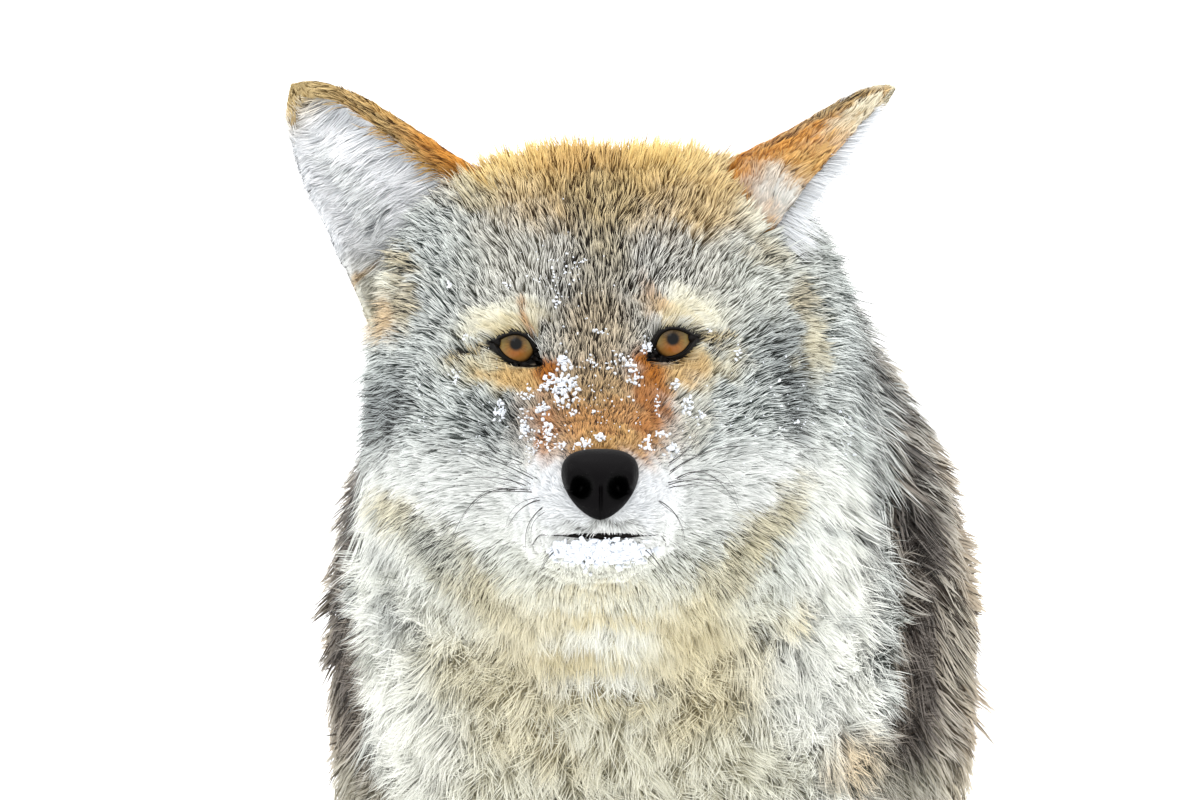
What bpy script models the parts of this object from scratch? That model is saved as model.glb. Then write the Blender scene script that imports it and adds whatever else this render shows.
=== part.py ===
"""A coyote's head and shoulders in winter coat, cut off flat to stand on a surface.

Metres, +Z up. The muzzle points along -Y, and +X is the coyote's own left. The origin lies in the
flat cut, under the midline of the head. The solid is the form of the coat out to the hair tips.
"""

import math

import bmesh
import bpy
import numpy as np

# ---- Driving dimensions -------------------------------------------------------------------------
EYES_AHEAD = 0.250  # the plane of the eyes lies this far ahead of the origin

# The coat, nose to back. Each station is an upright section:
# y behind the eyes, sideways shift, half width, top, height of the widest place, bottom,
# squareness of the upper half and of the lower half (2 is an ellipse).
COAT_STATIONS = (
    (-0.0950, 0.000, 0.0080, 0.160, 0.148, 0.138, 2.0, 2.0),
    (-0.0920, 0.000, 0.0150, 0.167, 0.148, 0.132, 2.2, 2.2),
    (-0.0860, 0.000, 0.0205, 0.171, 0.148, 0.127, 2.3, 2.3),
    (-0.0740, 0.000, 0.0258, 0.177, 0.149, 0.123, 2.4, 2.4),
    (-0.0600, 0.000, 0.0288, 0.182, 0.150, 0.120, 2.5, 2.4),
    (-0.0420, -0.001, 0.0318, 0.189, 0.151, 0.118, 2.6, 2.3),
    (-0.0220, -0.002, 0.0380, 0.198, 0.154, 0.115, 2.8, 2.2),
    (-0.0060, -0.002, 0.0490, 0.207, 0.160, 0.112, 3.0, 2.2),
    (0.0100, -0.002, 0.0630, 0.221, 0.167, 0.108, 3.0, 2.1),
    (0.0300, -0.001, 0.0785, 0.247, 0.174, 0.103, 2.6, 2.1),
    (0.0550, 0.001, 0.0910, 0.276, 0.179, 0.094, 2.5, 2.0),
    (0.0800, 0.003, 0.0985, 0.294, 0.180, 0.076, 2.7, 2.0),
    (0.1050, 0.005, 0.1040, 0.299, 0.174, 0.034, 2.9, 2.0),
    (0.1300, 0.008, 0.1100, 0.295, 0.158, -0.025, 2.7, 2.2),
    (0.1600, 0.012, 0.1190, 0.288, 0.132, -0.075, 2.3, 2.2),
    (0.2000, 0.017, 0.1340, 0.280, 0.100, -0.100, 2.0, 2.4),
    (0.2500, 0.023, 0.1480, 0.276, 0.085, -0.110, 1.9, 2.5),
    (0.3000, 0.025, 0.1470, 0.271, 0.085, -0.110, 1.9, 2.5),
    (0.3500, 0.025, 0.1350, 0.256, 0.085, -0.095, 1.9, 2.3),
    (0.3900, 0.025, 0.1090, 0.228, 0.085, -0.060, 1.9, 2.0),
    (0.4150, 0.025, 0.0740, 0.186, 0.085, -0.018, 2.0, 2.0),
    (0.4270, 0.025, 0.0350, 0.128, 0.085, 0.045, 2.0, 2.0),
)
STATION_STEPS = 2  # rings for every station
AROUND = 44  # points round a ring

EYE_RADIUS = 0.0105
EYE_GAP = 0.0004  # between an eyeball and its socket
EYES = {
    "left_eye": (0.0292, 0.0125, 0.2128),
    "right_eye": (-0.0336, 0.0125, 0.2108),
}

# Swellings and hollows of the head: place (x, y behind the eyes, z), radius, height along the normal.
RELIEF = (
    ((0.0292, 0.004, 0.2128), 0.0110, -0.0040),  # eye sockets
    ((-0.0336, 0.004, 0.2108), 0.0110, -0.0040),
    ((0.0300, 0.012, 0.2325), 0.0125, 0.0045),  # brows
    ((-0.0345, 0.012, 0.2305), 0.0125, 0.0045),
    ((0.0170, -0.080, 0.1480), 0.0110, 0.0020),  # whisker pads
    ((-0.0170, -0.080, 0.1480), 0.0110, 0.0020),
    ((0.0600, 0.018, 0.1780), 0.0180, 0.0030),  # cheekbones
    ((-0.0640, 0.018, 0.1760), 0.0180, 0.0030),
)

NOSE_CENTRE = (0.0, -0.0930, 0.1585)
NOSE_HALF = (0.0146, 0.0110, 0.0138)  # half width, half depth, half height

# An ear is a cupped leaf on a straight axis: base, tip, turn of its mouth outwards, which side, the
# half angle of the cup's arc at the base and at the tip, and how fast it narrows below EAR_WAIST.
EARS = {
    "left": ((0.0720, 0.096, 0.2575), (0.1250, 0.134, 0.3215), 82.0, 1, (92.0, 60.0), 1.6),
    "right": ((-0.0700, 0.092, 0.2530), (-0.1290, 0.106, 0.3220), 12.0, -1, (70.0, 32.0), 0.0),
}
EAR_HALF_WIDTH = 0.0385
EAR_TAPER = 0.66  # share of the half width lost by the tip, before the tip rounds off
EAR_ROOT = -0.30  # where the ear starts, inside the head, in ear lengths
EAR_WAIST = 0.12  # height in ear lengths below which a turned ear narrows into the head
EAR_THICK = 0.0055
EAR_RINGS = 11
EAR_ACROSS = 11

# Locks of longer fur, in rows: station, first and last angle in degrees (0 is +X, 90 up), count,
# length, width, share of the lock's course that falls.
LOCK_ROWS = (
    (10.0, -42.0, 6.0, 4, 0.056, 0.024, 0.25),
    (10.0, 174.0, 222.0, 4, 0.056, 0.024, 0.25),
    (11.4, -66.0, 16.0, 5, 0.064, 0.030, 0.35),
    (11.4, 164.0, 246.0, 5, 0.064, 0.030, 0.35),
    (11.0, 256.0, 284.0, 3, 0.050, 0.022, 0.60),
    (11.7, 249.0, 291.0, 4, 0.056, 0.024, 0.75),
    (12.4, 256.0, 284.0, 3, 0.060, 0.026, 0.85),
    (13.2, 22.0, 158.0, 6, 0.072, 0.036, 0.10),
    (13.9, -26.0, 8.0, 3, 0.074, 0.036, 0.40),
    (13.9, 172.0, 206.0, 3, 0.074, 0.036, 0.40),
    (15.1, -2.0, 182.0, 8, 0.084, 0.044, 0.20),
    (16.7, -12.0, 192.0, 8, 0.086, 0.046, 0.30),
)
LOCK_FLATNESS = 0.40  # thickness over width
LOCK_SIDES = 6
LOCK_LIFT = 0.24  # rise along the normal for each length of course
LOCK_BURIED = 0.0030  # how deep the middle of a lock lies in the coat

MOUTH = (-0.0925, 0.1374, 0.0165, 0.0016, 0.0075)  # front, height, half width, opening, depth
NOSTRIL = (0.0070, -0.1015, 0.1565, 0.0032)  # x, y, z, radius

CLIP_MARGIN = 0.5


def smooth_table(rows, at):
    """Reads each column of rows at fractional row numbers, by cubics that never overshoot a row."""
    rows = np.asarray(rows, float)
    step = np.diff(rows, axis=0)
    slope = np.zeros_like(rows)
    same_way = step[:-1] * step[1:] > 0
    with np.errstate(divide="ignore", invalid="ignore"):
        harmonic = 2 * step[:-1] * step[1:] / (step[:-1] + step[1:])
    slope[1:-1] = np.where(same_way, harmonic, 0.0)
    slope[0], slope[-1] = step[0], step[-1]
    at = np.clip(np.asarray(at, float), 0, len(rows) - 1)
    low = np.minimum(at.astype(int), len(rows) - 2)
    t = (at - low)[..., None]
    return (
        (2 * t**3 - 3 * t**2 + 1) * rows[low]
        + (t**3 - 2 * t**2 + t) * slope[low]
        + (3 * t**2 - 2 * t**3) * rows[low + 1]
        + (t**3 - t**2) * slope[low + 1]
    )


def section_points(station, angle):
    """Points of the coat at fractional stations and angles: a squared ellipse in polar form."""
    table = smooth_table(COAT_STATIONS, station)
    y, shift, half, top, widest, bottom, square_up, square_down = np.moveaxis(table, -1, 0)
    cos, sin = np.cos(angle), np.sin(angle)
    height = np.where(sin >= 0, top - widest, widest - bottom)
    power = np.where(sin >= 0, square_up, square_down)
    reach = (np.abs(cos / half) ** power + np.abs(sin / height) ** power) ** (-1 / power)
    return np.stack([shift + reach * cos, y - EYES_AHEAD, widest + reach * sin], axis=-1)


def coat_frame(station, angle):
    """Point, direction towards the back and outward normal of the coat."""
    nudge = 1e-3
    point = section_points(station, angle)
    along = section_points(station + nudge, angle) - section_points(station - nudge, angle)
    around = section_points(station, angle + nudge) - section_points(station, angle - nudge)
    along /= np.linalg.norm(along, axis=-1, keepdims=True)
    normal = np.cross(along, around)
    normal /= np.linalg.norm(normal, axis=-1, keepdims=True)
    return point, along, normal


def with_relief(point, normal):
    """The swellings and hollows of the head, each a bell curve about its place."""
    height = np.zeros(point.shape[:-1])
    for (x, y, z), radius, rise in RELIEF:
        away = np.linalg.norm(point - np.array([x, y - EYES_AHEAD, z]), axis=-1)
        height += rise * np.exp(-((away / radius) ** 2))
    return point + normal * height[..., None]


def new_object(name, verts, faces, material):
    mesh = bpy.data.meshes.new(name)
    mesh.from_pydata([tuple(map(float, v)) for v in verts], [], faces)
    mesh.update()
    body = bmesh.new()
    body.from_mesh(mesh)
    bmesh.ops.recalc_face_normals(body, faces=body.faces)
    bmesh.ops.triangulate(body, faces=[f for f in body.faces if len(f.verts) > 4])
    body.to_mesh(mesh)
    body.free()
    mesh.shade_smooth()
    obj = bpy.data.objects.new(name, mesh)
    obj.data.materials.append(material)
    bpy.context.scene.collection.objects.link(obj)
    return obj


def lofted(name, rings, material, ends=None):
    """A closed solid through equal rings of points, its ends closed on two points or straight across."""
    count, around = rings.shape[:2]
    final = (count - 1) * around
    verts = list(rings.reshape(-1, 3))
    faces = [
        (i * around + j, i * around + (j + 1) % around, (i + 1) * around + (j + 1) % around, (i + 1) * around + j)
        for i in range(count - 1)
        for j in range(around)
    ]
    if ends is None:
        across = [(j, around - 1 - j, around - 2 - j, j + 1) for j in range(around // 2 - 1)]
        faces += across + [tuple(final + k for k in reversed(face)) for face in across]
    else:
        first, last = len(verts), len(verts) + 1
        verts += list(ends)
        faces += [(first, (j + 1) % around, j) for j in range(around)]
        faces += [(last, final + j, final + (j + 1) % around) for j in range(around)]
    return new_object(name, verts, faces, material)


def coat_body(material):
    rows = np.linspace(0, len(COAT_STATIONS) - 1, (len(COAT_STATIONS) - 1) * STATION_STEPS + 1)
    angles = np.arange(AROUND) * 2 * math.pi / AROUND
    station, angle = np.meshgrid(rows, angles, indexing="ij")
    point, _, normal = coat_frame(station, angle)
    rings = with_relief(point, normal)
    return lofted("head_and_shoulders", rings, material, (rings[0].mean(axis=0), rings[-1].mean(axis=0)))


def nose_pad(material):
    """A rounded pad, blunt in front and narrow at the lip: an ellipsoid squared off across."""
    polar = np.linspace(0.12, math.pi - 0.12, 9)
    turn = np.arange(16) * 2 * math.pi / 16
    p, t = np.meshgrid(polar, turn, indexing="ij")
    x, z = np.sin(p) * np.cos(t), np.sin(p) * np.sin(t)
    narrowing = 1 - 0.28 * np.clip(-z, 0, 1) ** 2
    centre = np.array([NOSE_CENTRE[0], NOSE_CENTRE[1] - EYES_AHEAD, NOSE_CENTRE[2]])
    rings = centre + np.stack([x * narrowing, -np.cos(p), z], axis=-1) * np.array(NOSE_HALF)
    reach = np.array([0, NOSE_HALF[1], 0])
    return lofted("nose", rings, material, (centre - reach, centre + reach))


def ear_axes(base, tip, turn_deg, side, cup_deg, narrowing):
    """Base, length and the unit vectors along the ear, across it towards the crown, and out of its mouth."""
    base, tip = (np.array([p[0], p[1] - EYES_AHEAD, p[2]]) for p in (base, tip))
    length = np.linalg.norm(tip - base)
    along = (tip - base) / length
    ahead = np.array([0.0, -1.0, 0.0])
    front = ahead - (ahead @ along) * along
    front /= np.linalg.norm(front)
    outward = np.cross(along, front) * side
    turn = math.radians(turn_deg)
    mouth = math.cos(turn) * front + math.sin(turn) * outward
    return base, length, along, np.cross(mouth, along) * side, mouth


def ear_solid(name, ear, material):
    """The cup's arc at every height, its back a shell thickness outside its lining."""
    base, length, along, across, mouth = ear_axes(*ear)
    up = 1 - (1 - np.linspace(0, 1, EAR_RINGS)) ** 1.5
    a = EAR_ROOT + (0.995 - EAR_ROOT) * up
    half = EAR_HALF_WIDTH * (1 - EAR_TAPER * a) * np.sqrt(1 - np.clip(a, 0, 1) ** 8)
    half = half * (1 - ear[5] * np.clip(EAR_WAIST - a, 0, 1))
    cup = np.radians(np.interp(a, (0, 1), ear[4]))
    radius = half / np.sin(cup)
    b = np.linspace(-1, 1, EAR_ACROSS)

    def arc(shell):
        turn = cup[:, None] * b
        side = (radius[:, None] + shell) * np.sin(turn)
        deep = (radius * np.cos(cup))[:, None] - (radius[:, None] + shell) * np.cos(turn)
        return (
            base
            + along * (length * a)[:, None, None]
            + across * side[..., None]
            + mouth * deep[..., None]
        )

    rings = np.concatenate([arc(EAR_THICK), arc(0.0)[:, ::-1]], axis=1)
    return lofted(name, rings, material)


def fur_lock(name, station, angle, length, width, fall, material):
    """A lock: a flat tapering horn that leaves the coat and bends back to it towards its point."""
    root, back, normal = coat_frame(np.array(station), np.array(angle))
    down = np.array([0.0, 0.0, -1.0])
    course = back * (1 - fall) + down * fall
    course -= (course @ normal) * normal
    course = course / np.linalg.norm(course) + LOCK_LIFT * normal
    course /= np.linalg.norm(course)
    side = np.cross(course, normal)
    side /= np.linalg.norm(side)
    over = np.cross(side, course)
    start = root - normal * LOCK_BURIED - course * length * 0.4
    turn = np.arange(LOCK_SIDES) * 2 * math.pi / LOCK_SIDES
    wide, thick = width / 2, width / 2 * LOCK_FLATNESS
    rings = [
        start
        + course * (length * t)
        - over * (0.06 * length * t * t)
        + np.outer(np.cos(turn), side) * wide * share
        + np.outer(np.sin(turn), over) * thick * share
        for t, share in ((0.0, 0.55), (0.3, 0.92), (0.5, 1.0), (0.72, 0.7), (0.9, 0.34))
    ]
    tip = start + course * length * 1.1 - over * (0.075 * length)
    return lofted(name, np.array(rings), material, (start, tip))


def mouth_slit(material):
    """A lens-shaped sliver that follows the lip round the front of the muzzle."""
    front, height, half, opening, depth = MOUTH
    x = np.linspace(-1, 1, 11)
    back = front - EYES_AHEAD - 0.004 + 0.009 * x**2
    tall = opening / 2 * (1 - 0.8 * x**2)
    droop = height - 0.0015 * x**2
    rings = [
        [(half * xi, bi, zi), (half * xi, bi + 0.4 * depth, zi + ti), (half * xi, bi + depth + 0.004, zi), (half * xi, bi + 0.4 * depth, zi - ti)]
        for xi, bi, zi, ti in zip(x, back, droop, tall)
    ]
    rings = np.array(rings)
    return lofted("mouth_slit", rings, material, (rings[0].mean(axis=0), rings[-1].mean(axis=0)))


def ball(name, centre, radius, material, rings=9, around=14):
    """An eyeball or a round cutter, its pole facing ahead."""
    polar = np.linspace(0, math.pi, rings + 2)[1:-1]
    turn = np.arange(around) * 2 * math.pi / around
    p, t = np.meshgrid(polar, turn, indexing="ij")
    middle = np.array([centre[0], centre[1] - EYES_AHEAD, centre[2]])
    points = middle + radius * np.stack([np.sin(p) * np.cos(t), -np.cos(p), np.sin(p) * np.sin(t)], axis=-1)
    reach = np.array([0, radius, 0])
    return lofted(name, points, material, (middle - reach, middle + reach))


def base_cutter(material):
    """A block under the flat cut, wider than the coat all round."""
    bpy.ops.mesh.primitive_cube_add(size=1, location=(0, 0, -CLIP_MARGIN / 2))
    block = bpy.context.object
    block.name = "base_cutter"
    block.scale = (2.0, 2.0, CLIP_MARGIN)
    bpy.ops.object.transform_apply(location=False, rotation=False, scale=True)
    block.data.materials.append(material)
    return block


def helper(obj, collection):
    """Keeps a Boolean's operand out of the model."""
    obj.hide_render = True
    obj.display_type = "WIRE"
    for home in list(obj.users_collection):
        home.objects.unlink(obj)
    collection.objects.link(obj)


def principled(name, colour, roughness):
    material = bpy.data.materials.new(name)
    material.use_nodes = True
    shader = material.node_tree.nodes["Principled BSDF"]
    shader.inputs["Base Color"].default_value = (*colour, 1.0)
    shader.inputs["Roughness"].default_value = roughness
    return material


def add_boolean(obj, name, operation, operands):
    step = obj.modifiers.new(name, "BOOLEAN")
    step.solver = "EXACT"
    step.operation = operation
    step.operand_type = "COLLECTION"
    step.collection = operands


def build():
    for obj in list(bpy.data.objects):
        bpy.data.objects.remove(obj, do_unlink=True)
    fur = principled("winter_fur", (0.42, 0.38, 0.32), 0.85)
    iris = principled("amber_eye", (0.45, 0.21, 0.05), 0.15)
    grown = bpy.data.collections.new("grown_together")
    cuts = bpy.data.collections.new("cuts")
    for collection in (grown, cuts):
        bpy.context.scene.collection.children.link(collection)

    coat = coat_body(fur)
    helper(nose_pad(fur), grown)
    for side, ear in EARS.items():
        helper(ear_solid(f"ear_{side}", ear, fur), grown)
    number = 0
    for station, first, last, count, length, width, fall in LOCK_ROWS:
        for angle in np.radians(np.linspace(first, last, count)):
            number += 1
            helper(fur_lock(f"lock_{number:02d}", station, angle, length, width, fall, fur), grown)

    helper(base_cutter(fur), cuts)
    helper(mouth_slit(fur), cuts)
    x, y, z, radius = NOSTRIL
    for side, name in ((1, "left"), (-1, "right")):
        helper(ball(f"{name}_nostril", (side * x, y, z), radius, fur, 5, 10), cuts)
    for name, centre in EYES.items():
        helper(ball(f"{name}_socket", centre, EYE_RADIUS + EYE_GAP, fur), cuts)
        ball(name, centre, EYE_RADIUS, iris)
    add_boolean(coat, "grow_together", "UNION", grown)
    add_boolean(coat, "cut", "DIFFERENCE", cuts)


build()
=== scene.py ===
"""Coyote head and shoulders: winter coat, eyes, nose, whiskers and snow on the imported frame."""

import math

import bpy
import numpy as np
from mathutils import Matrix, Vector


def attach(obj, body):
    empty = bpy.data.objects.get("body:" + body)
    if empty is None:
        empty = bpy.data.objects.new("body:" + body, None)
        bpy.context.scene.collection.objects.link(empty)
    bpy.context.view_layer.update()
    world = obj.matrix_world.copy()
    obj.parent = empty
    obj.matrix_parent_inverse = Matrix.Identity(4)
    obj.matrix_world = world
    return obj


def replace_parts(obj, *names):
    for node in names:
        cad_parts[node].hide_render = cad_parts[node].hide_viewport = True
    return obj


bl_info = {
    "name": "Coyote Head and Shoulders",
    "version": (1, 0, 0),
    "blender": (4, 5, 0),
    "location": "3D Viewport > Sidebar > Coyote",
    "description": "Builds a still coyote head and shoulders with its fur, eyes, nose, whiskers and snow",
    "category": "Add Mesh",
}

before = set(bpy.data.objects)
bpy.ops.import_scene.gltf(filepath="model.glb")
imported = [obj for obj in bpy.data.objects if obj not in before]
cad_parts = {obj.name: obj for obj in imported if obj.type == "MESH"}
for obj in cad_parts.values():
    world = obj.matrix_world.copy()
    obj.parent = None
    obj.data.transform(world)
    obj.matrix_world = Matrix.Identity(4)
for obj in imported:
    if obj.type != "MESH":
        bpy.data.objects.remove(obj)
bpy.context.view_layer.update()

EYES_AHEAD = 0.250  # the plane of the eyes lies this far ahead of the origin
EYE_LEVEL = 0.190  # height of the level line that the face's marks are measured from
FACE_FROM = 2.40  # the marks line up when the face is seen from this far ahead of the eyes

# ---- Form of the coat ---------------------------------------------------------------------------
# Upright sections, nose to back: y behind the eyes, sideways shift, half width, top, height of the
# widest place, bottom, squareness of the upper and of the lower half; all but the last two in metres.
COAT_STATIONS = (
    (-0.0958, 0.000, 0.0006, 0.1496, 0.149, 0.1484, 2.0, 2.0),
    (-0.0950, 0.000, 0.0080, 0.160, 0.148, 0.138, 2.0, 2.0),
    (-0.0920, 0.000, 0.0150, 0.167, 0.148, 0.132, 2.2, 2.2),
    (-0.0860, 0.000, 0.0205, 0.171, 0.148, 0.127, 2.3, 2.3),
    (-0.0740, 0.000, 0.0258, 0.177, 0.149, 0.123, 2.4, 2.4),
    (-0.0600, 0.000, 0.0288, 0.182, 0.150, 0.120, 2.5, 2.4),
    (-0.0420, -0.001, 0.0318, 0.189, 0.151, 0.118, 2.6, 2.3),
    (-0.0220, -0.002, 0.0380, 0.198, 0.154, 0.115, 2.8, 2.2),
    (-0.0060, -0.002, 0.0490, 0.207, 0.160, 0.112, 3.0, 2.2),
    (0.0100, -0.002, 0.0630, 0.221, 0.167, 0.108, 3.0, 2.1),
    (0.0300, -0.001, 0.0785, 0.247, 0.174, 0.103, 2.6, 2.1),
    (0.0550, 0.001, 0.0910, 0.276, 0.179, 0.094, 2.5, 2.0),
    (0.0800, 0.003, 0.0985, 0.294, 0.180, 0.076, 2.7, 2.0),
    (0.1050, 0.005, 0.1040, 0.299, 0.174, 0.034, 2.9, 2.0),
    (0.1300, 0.008, 0.1100, 0.295, 0.158, -0.025, 2.7, 2.2),
    (0.1600, 0.012, 0.1190, 0.288, 0.132, -0.075, 2.3, 2.2),
    (0.2000, 0.017, 0.1340, 0.280, 0.100, -0.100, 2.0, 2.4),
    (0.2500, 0.023, 0.1480, 0.276, 0.085, -0.110, 1.9, 2.5),
    (0.3000, 0.025, 0.1470, 0.271, 0.085, -0.110, 1.9, 2.5),
    (0.3500, 0.025, 0.1350, 0.256, 0.085, -0.095, 1.9, 2.3),
    (0.3900, 0.025, 0.1090, 0.228, 0.085, -0.060, 1.9, 2.0),
    (0.4150, 0.025, 0.0740, 0.186, 0.085, -0.018, 2.0, 2.0),
    (0.4270, 0.025, 0.0350, 0.128, 0.085, 0.045, 2.0, 2.0),
    (0.4285, 0.025, 0.0008, 0.086, 0.085, 0.084, 2.0, 2.0),
)
# The coat at each station: depth of fur on top, at the side and below, length of hair on top, at the
# side and below (all mm), and the share of a hair's course that falls.
COAT_GROWTH = (
    (1.2, 1.2, 1.2, 3.0, 3.0, 3.0, 0.10),
    (1.2, 1.3, 1.3, 3.0, 3.5, 3.5, 0.10),
    (1.4, 1.6, 1.6, 3.5, 4.5, 4.5, 0.05),
    (1.6, 2.0, 2.0, 4.0, 5.5, 5.5, 0.05),
    (1.8, 2.6, 2.6, 4.5, 6.5, 7.0, 0.05),
    (2.1, 3.2, 3.4, 5.0, 8.0, 9.0, 0.05),
    (2.5, 3.9, 4.4, 5.5, 9.5, 12.0, 0.08),
    (3.0, 4.8, 5.8, 6.5, 12.0, 15.0, 0.10),
    (3.6, 6.0, 7.2, 7.5, 14.0, 19.0, 0.15),
    (4.4, 7.2, 8.6, 9.0, 17.0, 24.0, 0.18),
    (5.4, 8.4, 10.0, 11.0, 21.0, 30.0, 0.22),
    (6.6, 9.4, 11.0, 14.0, 26.0, 36.0, 0.28),
    (8.0, 10.4, 12.0, 17.0, 30.0, 40.0, 0.35),
    (9.4, 11.4, 13.0, 21.0, 34.0, 44.0, 0.42),
    (10.6, 12.0, 13.0, 26.0, 37.0, 46.0, 0.50),
    (12.0, 12.6, 13.0, 34.0, 42.0, 46.0, 0.45),
    (13.0, 13.0, 13.0, 40.0, 45.0, 46.0, 0.40),
    (13.0, 13.0, 13.0, 44.0, 46.0, 46.0, 0.35),
    (13.0, 13.0, 13.0, 46.0, 46.0, 46.0, 0.35),
    (13.0, 13.0, 13.0, 46.0, 46.0, 46.0, 0.45),
    (13.0, 13.0, 13.0, 46.0, 46.0, 46.0, 0.60),
    (13.0, 13.0, 13.0, 44.0, 44.0, 44.0, 0.80),
    (12.0, 12.0, 12.0, 40.0, 40.0, 40.0, 0.92),
    (12.0, 12.0, 12.0, 40.0, 40.0, 40.0, 0.98),
)
ROWS_PER_STATION = 12
COLUMNS = 320
MOST_ROWS, MOST_COLUMNS = 12, 24  # the furthest that one step of a hair goes on a grid

# Eyeballs: centre (x, y behind the eyes, z), then the slant of the lids, rising towards +X.
EYE_RADIUS = 0.0105
EYES = {
    "left_eye": ((0.0292, 0.0125, 0.2128), 23.0),
    "right_eye": ((-0.0336, 0.0125, 0.2108), -23.0),
}
# Lids in the eye's slanted axes, mm: middle of the corners inwards of the pupil and above it, half
# length, height of the upper and of the lower arc; first the opening, then the edge of the dark rim.
LID_OPENING = (0.3, -1.0, 8.4, 6.5, 3.9)
LID_RIM = (0.95, -2.4, 11.6, 8.9, 4.1)
LID_FIELD = 0.0225  # the lids run out under the coat this far (m) from the middle of their rim
LIDS_BEFORE = 0.050  # and reach no further back than this (m) behind the plane of the eyes
LID_POWER = 2.2  # their arcs are h (1 - |x/a|^2.2) high
LID_ROWS = (-0.06, 0.0, 0.05, 0.18, 0.45, 0.75, 1.0)  # rows from the opening, 0, to the rim, 1
# How far the lids stand off the eye and the skin (m), by row.
LID_LIFT = ((-0.06, 0.0, 0.05, 0.18, 1.8, 2.0), (-0.0010, 0.0003, 0.0009, 0.0012, 0.0008, -0.0020))
# The cone of the lids: it leaves the ball at this share of its radius, with this slope, and meets the
# skin of the head with this sharpness.
LID_STEEP, LID_CONE, LID_SHARP = 0.7, 1.35, 900.0
LID_THICK, LID_HAIR = 0.0014, 0.0085  # depth of the lids' fur and length of its hair
GAZE_UP = 8.5  # degrees
CORNEA_BULGE, CORNEA_TURN = 0.0006, 0.75  # height of the clear bulge, and its reach in radians

# Swellings and hollows of the head: place, radius, height along the normal.
RELIEF = (
    ((0.0292, 0.002, 0.2118), 0.0115, -0.0046),  # eye sockets
    ((-0.0336, 0.002, 0.2098), 0.0115, -0.0046),
    ((0.0300, 0.012, 0.2325), 0.0125, 0.0045),  # brows
    ((-0.0345, 0.012, 0.2305), 0.0125, 0.0045),
    ((0.0170, -0.080, 0.1480), 0.0110, 0.0020),  # whisker pads
    ((-0.0170, -0.080, 0.1480), 0.0110, 0.0020),
    ((0.0600, 0.018, 0.1780), 0.0180, 0.0030),  # cheekbones
    ((-0.0640, 0.018, 0.1760), 0.0180, 0.0030),
)
# The coat is thin about the eyes: how far behind their plane, in what radius, and the shares of its
# depth and of its length that it loses.
THIN_BEHIND, THIN_RADIUS = 0.004, 0.017
THIN_DEPTH, THIN_LENGTH = 0.70, 0.45

NOSE_Y = -0.0930  # the middle of the nose pad, behind the plane of the eyes
NOSE_HALF_WIDTH, NOSE_HALF_DEPTH = 0.0149, 0.0110
NOSE_MIDDLE = 0.1613  # height of its widest line, and how far the pad goes above and below it
NOSE_UP, NOSE_DOWN = 0.0100, 0.0174
NOSE_CLEAR = (14.6, 9.6, 17.0)  # kept free of hair, mm: half width, and up and down from that line
PAD_BEFORE, LIPS_BEFORE = -0.082, -0.070  # pad and lips reach back to here
MOUTH_HEIGHT = 0.1374
MOUTH_MIDDLE, MOUTH_HALF, MOUTH_OPEN = 0.0015, 0.0175, 0.0013  # parted lips: half length, half gap
RIM_CLEAR, LIPS_CLEAR = 0.97, 0.45  # shares of the dark rim and of the parted lips kept free of hair
LIPS_PART_BEFORE = -0.3  # the lips are parted where y is less than this
LIPS_RUN = (1.15, 3.5, 6.6)  # stations at which the line of the mouth starts, turns down and ends
LIPS_DROP, LIPS_THIN = 0.006, 0.00012  # how far it turns down, and half its width where it is shut
# Section of that line: share of half its width, and height over the coat.
LIP_SECTION = ((-1.0, -0.0022), (-0.7, -0.0008), (0.0, -0.0002), (0.7, -0.0008), (1.0, -0.0022))

# An ear is a cupped leaf on a straight axis: base, tip, turn of its mouth outwards, which side, the
# half angle of the cup's arc at the base and at the tip, and how fast it narrows below EAR_WAIST.
EARS = {
    "left": ((0.0720, 0.096, 0.2575), (0.1250, 0.134, 0.3215), 82.0, 1, (92.0, 60.0), 1.6),
    "right": ((-0.0700, 0.092, 0.2530), (-0.1290, 0.106, 0.3220), 12.0, -1, (70.0, 32.0), 0.0),
}
EAR_HALF_WIDTH = 0.0385
EAR_TAPER = 0.66
EAR_ROOT = -0.30  # the leaf goes on into the head by this share of its length
EAR_WAIST = 0.12
EAR_THICK = 0.0055
EAR_TIP_FROM, EAR_TIP_SHARE = 0.84, 0.16  # from here its rows close in on the tip
EAR_COLUMNS = 26

# ---- Colours ------------------------------------------------------------------------------------
# Hair: root colour, darker than the tip partly as the underfur's own colour and partly as painted shade deep
# in the coat; tip colour; share of black guard hairs.
TONES = {
    "snow": ("#bcc0c4", "#f1f3f5", 0.00),
    "down": ("#b2b6ba", "#f8f9fb", 0.04),
    "milk": ("#a7ada9", "#fafbf9", 0.12),
    "fleece": ("#caccc6", "#fcfdf6", 0.03),
    "cream": ("#beb89c", "#f4f3e4", 0.05),
    "straw": ("#88743e", "#eee2b8", 0.13),
    "ochre": ("#80581e", "#e8c27e", 0.20),
    "orange": ("#94500e", "#f0aa48", 0.16),
    "sienna": ("#5e2a04", "#c47c2c", 0.24),
    "rust": ("#482408", "#eaae68", 0.36),
    "tan": ("#3c2808", "#f4d294", 0.42),
    "umber": ("#120a02", "#ecd8a6", 0.52),
    "grizzle": ("#241f16", "#fffef6", 0.46),
    "ash": ("#455350", "#fafffc", 0.40),
    "slate": ("#101316", "#bec6c6", 0.60),
    "soot": ("#0a0a0e", "#605c5e", 0.62),
    "olive": ("#564c2c", "#ebe2be", 0.34),
    "crown": ("#a87624", "#ffe69a", 0.18),
    "fawn": ("#6c5c48", "#cfc2ae", 0.20),
}
BLACK_HAIR, LID_BLACK, LIP_BLACK = "#15110f", "#0b0908", "#0c0a09"
# NOSE_BLACKS: the pad's own near black below; the lighter colour on top is a painted sheen.
NOSE_BLACKS = ("#050405", "#151415")  # below and on top
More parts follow.
